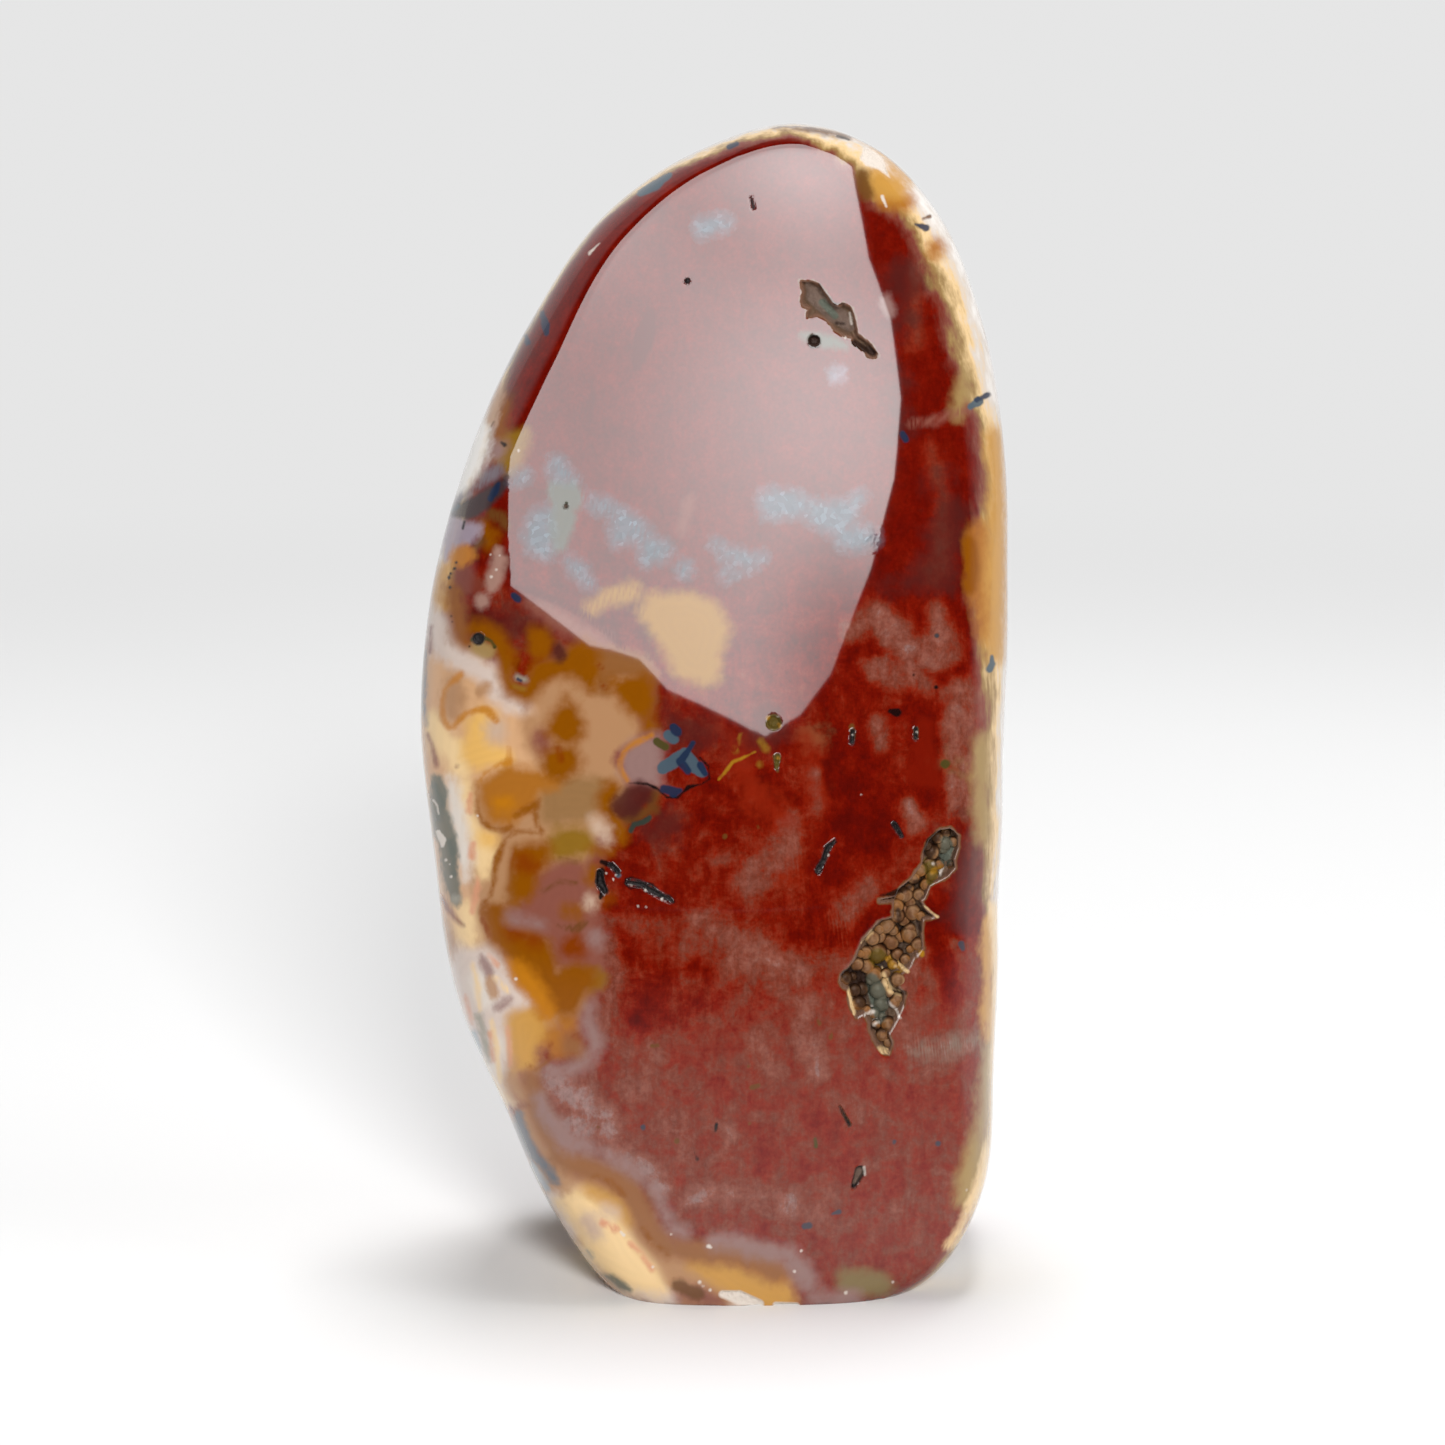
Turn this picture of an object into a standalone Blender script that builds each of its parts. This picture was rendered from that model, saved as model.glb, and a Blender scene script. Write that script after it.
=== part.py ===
"""Ocean jasper freeform: a tall polished stone, sawn flat underneath so that it stands.

The stone is one piece of orbicular chalcedony. Its polished face looks along -Y and leans back towards
the top, +X is to the viewer's right and +Z is up. The origin is under the middle of the stone, on the
surface that it stands on. Two hollows and a few pits and chips are open in the face, and the larger
hollow is lined with a crust of small round beads.
"""

from math import acos, atan2, cos, hypot, pi, radians, sin, sqrt

import bmesh
import bpy
from mathutils import Matrix, Vector

MM = 0.001

# Driving dimensions, in millimetres
HEIGHT = 140.0
MIDDLE_X = 1.0
MIDDLE_Z = 66.0
DOME_RADIUS_FRONT = 130.0
DOME_RADIUS_BACK = 100.0
ROLL_POWER = 2.6
GAP = 0.3

# The stone's outline seen from the front, clockwise from the top: across, up, and the width over which
# the face rolls over to the side there
OUTLINE = [
    (10.5, 139.5, 2.5),
    (-1.5, 136.5, 2.8),
    (-12.5, 129.5, 4.5),
    (-22.8, 115.5, 7.5),
    (-30.4, 99.5, 8.0),
    (-35.0, 83.0, 12.0),
    (-36.4, 68.0, 13.0),
    (-34.6, 49.0, 12.0),
    (-31.7, 32.5, 11.0),
    (-25.9, 19.5, 10.0),
    (-20.3, 7.5, 9.0),
    (-11.5, -3.0, 8.0),
    (4.0, -5.0, 6.0),
    (19.0, -4.0, 6.0),
    (29.0, 1.5, 6.0),
    (33.7, 10.5, 6.0),
    (34.8, 24.0, 8.0),
    (35.3, 40.0, 9.0),
    (35.8, 57.0, 9.0),
    (36.2, 74.0, 10.0),
    (36.2, 90.0, 11.0),
    (35.3, 104.0, 11.0),
    (32.6, 117.0, 10.0),
    (28.0, 128.0, 6.0),
    (20.2, 136.3, 3.0),
]

# Each hollow is a run of round scoops: across, up, half width, half height, lean to the right in
# degrees, and depth below the polished face
LOWER_VUG = [
    (27.0, 54.4, 2.0, 3.2, 20, 3.5),
    (25.0, 51.2, 1.7, 2.6, 28, 3.2),
    (22.8, 48.6, 3.2, 2.4, 0, 4.0),
    (22.0, 45.0, 3.2, 3.3, 20, 4.5),
    (19.8, 41.5, 4.4, 2.6, -10, 4.6),
    (19.2, 38.5, 3.3, 3.1, 0, 4.2),
    (19.3, 35.1, 2.7, 2.6, 0, 3.6),
    (20.2, 32.6, 1.5, 1.9, 10, 2.6),
]
UPPER_VUG = [
    (11.2, 120.2, 1.4, 1.8, 0, 1.6),
    (13.6, 118.3, 2.4, 1.2, 30, 2.0),
    (15.7, 116.3, 1.7, 2.1, -20, 2.5),
    (17.4, 114.0, 2.1, 1.0, 40, 1.6),
]
PITS = [
    (11.7, 114.4, 0.7, 0.6, 0, 1.0),
    (-12.5, 51.9, 1.2, 2.0, 20, 1.8),
    (7.4, 70.0, 1.2, 1.2, 0, 0.8),
    (13.1, 54.3, 0.7, 2.1, 15, 1.2),
    (17.2, 15.6, 0.7, 1.6, 20, 1.2),
    (-7.6, 50.4, 2.6, 0.6, 15, 0.9),
]
CHIPS = [
    (18.8, 135.6, 1.7, 1.6, 0, 1.0),
    (2.0, 0.6, 4.0, 1.2, 0, 0.8),
]

# The crust in the lower hollow: a thin bed of beads that ends a little below the hollow's rim
CRUST_THICKNESS = 0.7
CRUST_SETBACK = 0.9
BEAD_RADIUS = 1.0
BEAD_SPACING = 1.7

# Mesh density
AROUND = 80
RINGS = 24
RING_CROWDING = 2.2


def clear_scene():
    for old in list(bpy.data.objects):
        bpy.data.objects.remove(old, do_unlink=True)


def new_collection(name):
    made = bpy.data.collections.new(name)
    bpy.context.scene.collection.children.link(made)
    return made


def material(name, colour, roughness):
    made = bpy.data.materials.new(name)
    made.use_nodes = True
    shader = made.node_tree.nodes["Principled BSDF"]
    shader.inputs["Base Color"].default_value = (*colour, 1.0)
    shader.inputs["Roughness"].default_value = roughness
    shader.inputs["Metallic"].default_value = 0.0
    return made


def polar_outline():
    """The outline as (angle, reach, roll) about the middle, in order of angle."""
    turned = []
    for across, up, roll in OUTLINE:
        side = across - MIDDLE_X
        rise = up - MIDDLE_Z
        turned.append((atan2(rise, side) % (2 * pi), hypot(side, rise), roll))
    return sorted(turned)


def smooth_round(knots, column, angle):
    """A smooth closed curve through one column of the knots, read at an angle."""
    count = len(knots)
    angle = angle % (2 * pi)
    if angle < knots[0][0]:
        angle += 2 * pi
    index = max(i for i in range(count) if knots[i][0] <= angle)

    def knot(i):
        lap, place = divmod(i, count)
        return knots[place][0] + lap * 2 * pi, knots[place][column]

    def slope(i):
        before, here, after = knot(i - 1), knot(i), knot(i + 1)
        span_in = here[0] - before[0]
        span_out = after[0] - here[0]
        rise_in = (here[1] - before[1]) / span_in
        rise_out = (after[1] - here[1]) / span_out
        return (rise_in * span_out + rise_out * span_in) / (span_in + span_out)

    start, end = knot(index), knot(index + 1)
    span = end[0] - start[0]
    u = (angle - start[0]) / span
    return (
        (2 * u**3 - 3 * u**2 + 1) * start[1]
        + (u**3 - 2 * u**2 + u) * span * slope(index)
        + (3 * u**2 - 2 * u**3) * end[1]
        + (u**3 - u**2) * span * slope(index + 1)
    )


def rim(knots, angle):
    """Reach of the outline at an angle, the width of the roll there, and how squarely a spoke meets it."""
    step = 0.001
    reach = smooth_round(knots, 1, angle)
    roll = smooth_round(knots, 2, angle)
    change = smooth_round(knots, 1, angle + step) - smooth_round(knots, 1, angle - step)
    squareness = reach / hypot(reach, change / (2 * step))
    return reach, roll, squareness


def face_depths(across, up):
    """Where the front, the back and the seam between them lie along Y, before the edges roll over."""
    t = up / HEIGHT
    front = -22.3 + 5 * t + 14 * t**2 + 12 * t**4
    back = 16.7 + 3 * t + 16 * t * (1 - t)
    seam = (front + back) / 2
    off_middle = across - MIDDLE_X
    front += off_middle**2 / (2 * DOME_RADIUS_FRONT)
    back -= off_middle**2 / (2 * DOME_RADIUS_BACK)
    return front, back, seam


def skin_point(knots, angle, share, is_front):
    """A point on the stone's skin: share is 0 in the middle of a face and 1 on the outline."""
    reach, roll, squareness = rim(knots, angle)
    across = MIDDLE_X + share * reach * cos(angle)
    up = MIDDLE_Z + share * reach * sin(angle)
    inset = min((1 - share) * reach * squareness / roll, 1.0)
    swell = (1 - (1 - inset) ** ROLL_POWER) ** (1 / ROLL_POWER)
    front, back, seam = face_depths(across, up)
    face = front if is_front else back
    return Vector((across, seam + (face - seam) * swell, up)) * MM


def finished_object(name, work, collection, surface=None):
    mesh = bpy.data.meshes.new(name)
    work.to_mesh(mesh)
    work.free()
    made = bpy.data.objects.new(name, mesh)
    collection.objects.link(made)
    if surface:
        mesh.materials.append(surface)
    return made


def stone_blank(collection, surface):
    """The polished stone before its hollows are cut: a sphere drawn out to the outline and sawn flat."""
    knots = polar_outline()
    work = bmesh.new()
    bmesh.ops.create_uvsphere(work, u_segments=AROUND, v_segments=RINGS, radius=1.0)
    for vert in work.verts:
        angle = atan2(vert.co.y, vert.co.x)
        down = acos(max(-1.0, min(1.0, vert.co.z))) / (pi / 2)
        is_front = down <= 1.0
        from_rim = 1.0 - down if is_front else down - 1.0
        share = 1.0 - from_rim**RING_CROWDING
        vert.co = skin_point(knots, angle, share, is_front)
    sawn = bmesh.ops.bisect_plane(
        work,
        geom=list(work.verts) + list(work.edges) + list(work.faces),
        plane_co=(0, 0, 0),
        plane_no=(0, 0, -1),
        clear_outer=True,
    )
    cut_edges = [part for part in sawn["geom_cut"] if isinstance(part, bmesh.types.BMEdge)]
    bmesh.ops.contextual_create(work, geom=cut_edges)
    bmesh.ops.recalc_face_normals(work, faces=list(work.faces))
    return finished_object("stone", work, collection, surface)


def hide_cutter(cutter):
    cutter.hide_render = True
    cutter.display_type = "WIRE"


def scoop(name, place, collection, shrink=0.0):
    """A round cutter that leaves one scoop of a hollow in the front face."""
    across, up, half_width, half_height, lean, depth = place
    front = face_depths(across, up)[0]
    sizes = (half_width - shrink, depth - shrink, half_height - shrink)
    work = bmesh.new()
    bmesh.ops.create_uvsphere(work, u_segments=12, v_segments=8, radius=1.0)
    bmesh.ops.scale(work, vec=sizes, verts=work.verts)
    bmesh.ops.rotate(work, matrix=Matrix.Rotation(radians(lean), 3, "Y"), verts=work.verts)
    bmesh.ops.translate(work, vec=(across, front, up), verts=work.verts)
    bmesh.ops.scale(work, vec=(MM, MM, MM), verts=work.verts)
    return finished_object(name, work, collection)


def boolean(target, operation, operand):
    cut = target.modifiers.new(operation.lower(), "BOOLEAN")
    cut.operation = operation
    cut.solver = "EXACT"
    if isinstance(operand, bpy.types.Collection):
        cut.operand_type = "COLLECTION"
        cut.collection = operand
    else:
        cut.object = operand


def depth_in_lower_vug(across, up, shrink):
    """How deep the lower hollow is at this place when its walls are moved in by shrink, or 0 outside it."""
    deepest = 0.0
    for centre_across, centre_up, half_width, half_height, lean, depth in LOWER_VUG:
        side = across - centre_across
        rise = up - centre_up
        turn = radians(lean)
        along = (side * cos(turn) - rise * sin(turn)) / (half_width - shrink)
        upright = (side * sin(turn) + rise * cos(turn)) / (half_height - shrink)
        inside = 1 - along**2 - upright**2
        if inside > 0:
            deepest = max(deepest, (depth - shrink) * sqrt(inside))
    return deepest


def bead_places():
    """Middles of the beads: a staggered grid laid over the crust's bed."""
    low_across, high_across = 15.0, 30.0
    low_up, high_up = 30.5, 58.0
    row_rise = BEAD_SPACING * sqrt(3) / 2
    places = []
    for row in range(int((high_up - low_up) / row_rise)):
        up = low_up + row * row_rise
        stagger = 0.5 * (row % 2)
        for column in range(int((high_across - low_across) / BEAD_SPACING)):
            across = low_across + (column + stagger) * BEAD_SPACING
            depth = depth_in_lower_vug(across, up, GAP + CRUST_THICKNESS)
            if depth > CRUST_SETBACK:
                places.append((across, face_depths(across, up)[0] + depth, up))
    return places


def bead(name, place, collection):
    work = bmesh.new()
    bmesh.ops.create_uvsphere(work, u_segments=10, v_segments=6, radius=BEAD_RADIUS * MM)
    bmesh.ops.translate(work, vec=Vector(place) * MM, verts=work.verts)
    return finished_object(name, work, collection)


def mouth_block(collection):
    """A block over the lower hollow whose inner side lies a little below the polished face."""
    across, up = 21.5, 44.0
    width, thickness, height = 30.0, 12.0, 40.0
    step = 1.0
    front = face_depths(across, up)[0]
    slope_across = (face_depths(across + step, up)[0] - face_depths(across - step, up)[0]) / (2 * step)
    slope_up = (face_depths(across, up + step)[0] - face_depths(across, up - step)[0]) / (2 * step)
    outward = Vector((slope_across, -1.0, slope_up)).normalized()
    turn = Vector((0, -1, 0)).rotation_difference(outward).to_matrix()
    centre = Vector((across, front, up)) + outward * (thickness / 2 - CRUST_SETBACK)
    work = bmesh.new()
    bmesh.ops.create_cube(work, size=1.0)
    bmesh.ops.scale(work, vec=(width, thickness, height), verts=work.verts)
    bmesh.ops.rotate(work, matrix=turn, verts=work.verts)
    bmesh.ops.translate(work, vec=centre, verts=work.verts)
    bmesh.ops.scale(work, vec=(MM, MM, MM), verts=work.verts)
    return finished_object("crust_mouth", work, collection)


def filled_hollow(name, shrink, collection, others, surface=None):
    """The space of the lower hollow with its walls moved in by shrink."""
    for number, place in enumerate(LOWER_VUG[1:]):
        hide_cutter(scoop(f"{name}_{number:02d}", place, others, shrink))
    filling = scoop(name, LOWER_VUG[0], collection, shrink)
    if surface:
        filling.data.materials.append(surface)
    boolean(filling, "UNION", others)
    return filling


def crust(collection, cutters, surface):
    """The crust: a bed along the hollow's walls with beads grown on it, open to the front."""
    beads = new_collection("crust_beads")
    for number, place in enumerate(bead_places()):
        hide_cutter(bead(f"bead_{number:02d}", place, beads))
    air = filled_hollow("crust_air", GAP + CRUST_THICKNESS, cutters, new_collection("crust_air_scoops"))
    boolean(air, "DIFFERENCE", beads)
    hide_cutter(air)
    mouth = mouth_block(cutters)
    hide_cutter(mouth)
    made = filled_hollow("vug_crust", GAP, collection, new_collection("crust_scoops"), surface)
    boolean(made, "DIFFERENCE", mouth)
    boolean(made, "DIFFERENCE", air)
    return made


clear_scene()
parts = new_collection("ocean_jasper_freeform")
stone_cutters = new_collection("stone_cutters")
crust_cutters = new_collection("crust_cutters")

polished = material("polished_jasper", (0.29, 0.06, 0.035), 0.06)
beaded = material("chalcedony_beads", (0.16, 0.12, 0.09), 0.25)

stone = stone_blank(parts, polished)
for group, places in (("lower_vug", LOWER_VUG), ("upper_vug", UPPER_VUG), ("pit", PITS), ("chip", CHIPS)):
    for number, place in enumerate(places):
        hide_cutter(scoop(f"{group}_{number:02d}", place, stone_cutters))
boolean(stone, "DIFFERENCE", stone_cutters)
stone.data.shade_smooth()
stone.data.set_sharp_from_angle(angle=radians(35))

vug_crust = crust(parts, crust_cutters, beaded)
vug_crust.data.shade_smooth()
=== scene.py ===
"""Looks of a polished ocean jasper freeform: the stone with its colours, pits and chips, the beads in
its hollow, and the white table and the lights that it is seen with. Shapes are worked out in
millimetres and turned to metres as each mesh is finished."""

from math import atan2, cos, hypot, pi, radians, sin

import bmesh
import bpy
import numpy as np
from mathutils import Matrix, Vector


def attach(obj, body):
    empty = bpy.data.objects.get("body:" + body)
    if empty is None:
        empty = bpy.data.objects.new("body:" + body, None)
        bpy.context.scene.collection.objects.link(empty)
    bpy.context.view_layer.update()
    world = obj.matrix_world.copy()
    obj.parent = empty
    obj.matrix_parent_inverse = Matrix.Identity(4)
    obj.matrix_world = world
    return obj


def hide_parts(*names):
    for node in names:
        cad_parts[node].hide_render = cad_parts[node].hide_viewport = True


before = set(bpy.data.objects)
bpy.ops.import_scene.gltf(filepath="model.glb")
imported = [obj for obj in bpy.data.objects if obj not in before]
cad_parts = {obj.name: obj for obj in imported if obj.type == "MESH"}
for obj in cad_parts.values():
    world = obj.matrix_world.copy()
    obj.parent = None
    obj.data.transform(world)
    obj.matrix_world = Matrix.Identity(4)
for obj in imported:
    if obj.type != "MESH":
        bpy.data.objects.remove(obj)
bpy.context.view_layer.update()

# Camera: a long lens half a metre in front of the stone and a little above it, so that the leaning
# face is seen nearly square on. The marks below are placed as this camera sees them.
MM = 0.001
CAMERA_TARGET = Vector((1.0, -2.3, 67.8))
CAMERA_DISTANCE = 490.0
CAMERA_ELEVATION = radians(12)
LENS = 100.0
SENSOR_WIDTH = 36.0
NEAREST_SEEN = 0.01
FARTHEST_SEEN = 10.0


def put(name, data):
    """A new object in the scene."""
    made_object = bpy.data.objects.new(name, data)
    bpy.context.scene.collection.objects.link(made_object)
    return made_object


camera_data = bpy.data.cameras.new("camera")
camera_data.lens = LENS
camera_data.sensor_width = SENSOR_WIDTH
camera_data.clip_start = NEAREST_SEEN
camera_data.clip_end = FARTHEST_SEEN
camera = put("camera", camera_data)
sight = Vector((0, cos(CAMERA_ELEVATION), -sin(CAMERA_ELEVATION)))
sight_up = Vector((0, sin(CAMERA_ELEVATION), cos(CAMERA_ELEVATION)))
eye = CAMERA_TARGET - CAMERA_DISTANCE * sight
camera.location = eye * MM
camera.rotation_euler = (radians(90) - CAMERA_ELEVATION, 0, 0)
bpy.context.scene.camera = camera
bpy.context.scene.view_settings.view_transform = "Standard"


def as_seen(points):
    """Places of points on an upright sheet through the camera's target: across and up, in millimetres."""
    away = points - np.array(eye)
    depth = away @ np.array(sight)
    across = CAMERA_TARGET.x + CAMERA_DISTANCE * away[:, 0] / depth
    up = CAMERA_TARGET.z + CAMERA_DISTANCE * (away @ np.array(sight_up)) / depth
    return across, up


# Stone, its form: one piece of jasper and chalcedony, ground to a rounded outline with a leaning,
# slightly domed front, a rounder back and edges that roll over, then sawn flat underneath.
HEIGHT = 140.0
MIDDLE_X = 1.0
MIDDLE_Z = 66.0
DOME_RADIUS_FRONT = 130.0
DOME_RADIUS_BACK = 100.0
ROLL_POWER = 2.6
# Outline seen from the front, anticlockwise from the top: across, up, width over which the face rolls
# over
OUTLINE = [
    (10.5, 139.5, 2.5), (-1.5, 136.5, 2.8), (-12.5, 129.5, 4.5), (-22.8, 115.5, 7.5),
    (-30.4, 99.5, 8.0), (-35.0, 83.0, 12.0), (-36.4, 68.0, 13.0), (-34.6, 49.0, 12.0),
    (-31.7, 32.5, 11.0), (-25.9, 19.5, 10.0), (-20.3, 7.5, 9.0), (-11.5, -3.0, 8.0), (4.0, -5.0, 6.0),
    (19.0, -4.0, 6.0), (29.0, 1.5, 6.0), (33.7, 10.5, 6.0), (34.8, 24.0, 8.0), (35.3, 40.0, 9.0),
    (35.8, 57.0, 9.0), (36.2, 74.0, 10.0), (36.2, 90.0, 11.0), (35.3, 104.0, 11.0), (32.6, 117.0, 10.0),
    (28.0, 128.0, 6.0), (20.2, 136.3, 3.0),
]
SKIN_TIGHTEN = 0.28
FACE_TIGHTEN = 0.998
FACE_CELLS = 84
RIM_CROWDING = 1.35
# Where the faces lie along Y at the foot, and how they run with the share of the height: for the front by
# its first, second and fourth powers, for the back by its lean and its bulge
FRONT_FOOT = -22.3
FRONT_RUN = (5.0, 14.0, 12.0)
BACK_FOOT = 16.7
BACK_LEAN = 3.0
BACK_BULGE = 16.0

outline_knots = []
for knot_across, knot_up, knot_roll in OUTLINE:
    side, rise = knot_across - MIDDLE_X, knot_up - MIDDLE_Z
    outline_knots.append((atan2(rise, side) % (2 * pi), hypot(side, rise), knot_roll))
outline_knots = np.array(sorted(outline_knots))


def smooth_round(column, angle):
    """A smooth closed curve through one column of the outline's knots, read at many angles."""
    laps = [outline_knots[-2:] - (2 * pi, 0, 0), outline_knots, outline_knots[:2] + (2 * pi, 0, 0)]
    laps = np.concatenate(laps)
    turn, value = laps[:, 0], laps[:, column]
    span = np.diff(turn)
    grade = np.diff(value) / span
    slope = np.zeros(len(turn))
    slope[1:-1] = (grade[:-1] * span[1:] + grade[1:] * span[:-1]) / (span[:-1] + span[1:])
    angle = (angle - turn[1]) % (2 * pi) + turn[1]
    i = np.clip(np.searchsorted(turn, angle, side="right") - 1, 1, len(turn) - 3)
    u = (angle - turn[i]) / span[i]
    start = (2 * u**3 - 3 * u**2 + 1) * value[i] + (u**3 - 2 * u**2 + u) * span[i] * slope[i]
    end = (3 * u**2 - 2 * u**3) * value[i + 1] + (u**3 - u**2) * span[i] * slope[i + 1]
    return start + end


def face_depths(across, up):
    """Where the front, the back and the seam between them lie along Y, before the edges roll over."""
    t = up / HEIGHT
    front = FRONT_FOOT + FRONT_RUN[0] * t + FRONT_RUN[1] * t**2 + FRONT_RUN[2] * t**4
    back = BACK_FOOT + BACK_LEAN * t + BACK_BULGE * t * (1 - t)
    seam = (front + back) / 2
    front = front + (across - MIDDLE_X) ** 2 / (2 * DOME_RADIUS_FRONT)
    back = back - (across - MIDDLE_X) ** 2 / (2 * DOME_RADIUS_BACK)
    return front, back, seam


def skin(flat, is_back):
    """Points of the stone's skin for points of the flat unit disc that stands for one of its faces."""
    radius = np.minimum(np.hypot(flat[:, 0], flat[:, 1]), 1.0)
    angle = np.arctan2(flat[:, 1], flat[:, 0])
    share = 1 - (1 - radius) ** RIM_CROWDING
    step = 0.001
    reach = smooth_round(1, angle)
    change = (smooth_round(1, angle + step) - smooth_round(1, angle - step)) / (2 * step)
    squareness = reach / np.hypot(reach, change)
    inset = np.minimum((1 - share) * reach * squareness / smooth_round(2, angle), 1.0)
    swell = (1 - (1 - inset) ** ROLL_POWER) ** (1 / ROLL_POWER)
    reach = reach - SKIN_TIGHTEN
    across = MIDDLE_X + share * reach * np.cos(angle)
    up = MIDDLE_Z + share * reach * np.sin(angle)
    front, back, seam = face_depths(across, up)
    y = seam + (np.where(is_back, back, front) - seam) * swell * FACE_TIGHTEN
    return np.stack([across, y, up], axis=1)


def disc_grid(cells):
    """A square grid of points drawn round, so that it fills the unit disc without a pole."""
    steps = np.linspace(-1, 1, cells + 1)
    a, b = np.meshgrid(steps, steps, indexing="ij")
    wide = np.abs(a) >= np.abs(b)
    radius = np.where(wide, a, b)
    ratio = np.divide(np.where(wide, b, a), radius, out=np.zeros_like(a), where=radius != 0)
    turn = np.where(wide, pi / 4 * ratio, pi / 2 - pi / 4 * ratio)
    return np.stack([radius * np.cos(turn), radius * np.sin(turn)], axis=-1).reshape(-1, 2)


def two_faces(cells):
    """Both faces as flat discs in one mesh, joined at their rims; the back's faces have material 1."""
    row = cells + 1
    grid = disc_grid(cells)
    index = np.arange(row * row).reshape(row, row)
    on_rim = np.zeros((row, row), bool)
    on_rim[[0, -1], :] = True
    on_rim[:, [0, -1]] = True
    back_index = index.copy()
    back_index[~on_rim] = row * row + np.arange((~on_rim).sum())
    flat = np.concatenate([grid, grid[~on_rim.ravel()]])
    corners = [(slice(0, -1), slice(0, -1)), (slice(1, None), slice(0, -1))]
    corners += [(slice(1, None), slice(1, None)), (slice(0, -1), slice(1, None))]
    front_quads = np.stack([index[c] for c in corners], axis=-1).reshape(-1, 4)
    back_quads = np.stack([back_index[c] for c in corners], axis=-1).reshape(-1, 4)[:, ::-1]
    mesh = bpy.data.meshes.new("two_faces")
    points = [(a, b, 0.0) for a, b in flat]
    mesh.from_pydata(points, [], np.concatenate([front_quads, back_quads]).tolist())
    work = bmesh.new()
    work.from_mesh(mesh)
    bpy.data.meshes.remove(mesh)
    work.faces.ensure_lookup_table()
    for face in work.faces[len(front_quads):]:
        face.material_index = 1
    return work


def refine(work, wanted):
    """Halves the edges of the faces that wanted picks, and keeps the rim of the disc round."""
    picked = {edge for face, keep in zip(list(work.faces), wanted) if keep for edge in face.edges}
    bmesh.ops.subdivide_edges(work, edges=list(picked), cuts=1, use_grid_fill=True)
    for vert in work.verts:
        sides = {face.material_index for face in vert.link_faces}
        if len(sides) == 2:
            vert.co.normalize()


REACH = 6.0
BLEND = 0.3
SHORTEST = 1e-9


def marks_distance(marks, across, up, blend=BLEND):
    """Distance outside marks, negative inside, told apart up to REACH and blended where marks meet. A mark
    is a chain of places with a half width, or a closed outline where its places have none."""
    soft = np.full(len(across), np.exp(-2 * REACH / blend))
    for mark in marks:
        corners = np.array(mark)
        widest = corners[:, 2].max() if corners.shape[1] == 3 else 0.0
        low = corners[:, :2].min(axis=0) - REACH - widest
        high = corners[:, :2].max(axis=0) + REACH + widest
        near = (across > low[0]) & (across < high[0]) & (up > low[1]) & (up < high[1])
        a, b = across[near], up[near]
        is_outline = corners.shape[1] == 2
        starts = corners if is_outline or len(corners) == 1 else corners[:-1]
        ends = np.roll(corners, -1, axis=0) if is_outline or len(corners) == 1 else corners[1:]
        away = np.full(len(a), REACH + widest)
        inside = np.zeros(len(a), bool)
        for start, end in zip(starts, ends):
            run, rise = end[0] - start[0], end[1] - start[1]
            length = max(run**2 + rise**2, SHORTEST)
            t = np.clip(((a - start[0]) * run + (b - start[1]) * rise) / length, 0, 1)
            width = 0.0 if is_outline else start[2] + t * (end[2] - start[2])
            away = np.minimum(away, np.hypot(a - start[0] - t * run, b - start[1] - t * rise) - width)
            if is_outline and rise != 0:
                crosses = (start[1] > b) != (end[1] > b)
                inside ^= crosses & (a < start[0] + (b - start[1]) / rise * run)
        away = np.where(inside, -away, away)
        soft[near] += np.exp(-2 * np.clip(away, -REACH, REACH) / blend)
    return -blend / 2 * np.log(soft)


# Hollows as the camera sees them
LOWER_HOLLOW = [
    [(25.5, 52), (26.2, 53.5), (27.5, 54.7), (28.8, 54.9), (29.8, 54), (29.8, 52.5), (29.3, 51),
     (29.4, 50), (28.5, 49), (27.5, 48.5), (26.3, 47.9), (25.7, 46.4), (25.2, 46), (26, 44.7), (27, 44),
     (25.5, 43.7), (25.3, 42), (25.5, 40.2), (24.3, 39), (24, 38.2), (22.7, 37), (22.5, 35.3),
     (23.3, 34.7), (23.2, 33.5), (22.3, 31.5), (21.3, 29.7), (21.8, 28.5), (21.4, 27.3), (20.5, 27.5),
     (19.5, 29), (19, 30.3), (18.8, 31.2), (18.2, 32.3), (17.2, 31.8), (16.7, 33), (16.3, 35),
     (15.3, 36), (15.3, 36.7), (17, 38.5), (18, 41), (20.2, 43.5), (21.8, 44), (21.8, 45.8),
     (22.5, 47.5), (24, 48.7), (25.3, 50.5)], [(20.2, 46, 0.15), (21.9, 46.2, 0.3)],
]
UPPER_HOLLOW = [
    [(10.5, 121.7), (12, 121.6), (12.8, 121.2), (13.5, 120.2), (14.5, 118.8), (15.2, 118.5),
     (15.8, 118.9), (16.7, 118.4), (17, 117.6), (17.3, 116.5), (17.5, 115.2), (18.2, 114.6),
     (19.2, 113.9), (20, 112.6), (19.5, 112.3), (18.8, 112.5), (18.3, 113.2), (17, 114.1),
     (16.8, 114.8), (15.6, 115.1), (14.8, 115.6), (14.2, 116.5), (13.5, 117.1), (12.5, 117.5),
     (11.5, 117.2), (11.3, 117.5), (11.7, 118.3), (10.8, 118.7), (10.6, 119.3), (10.9, 120.3)],
]
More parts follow.
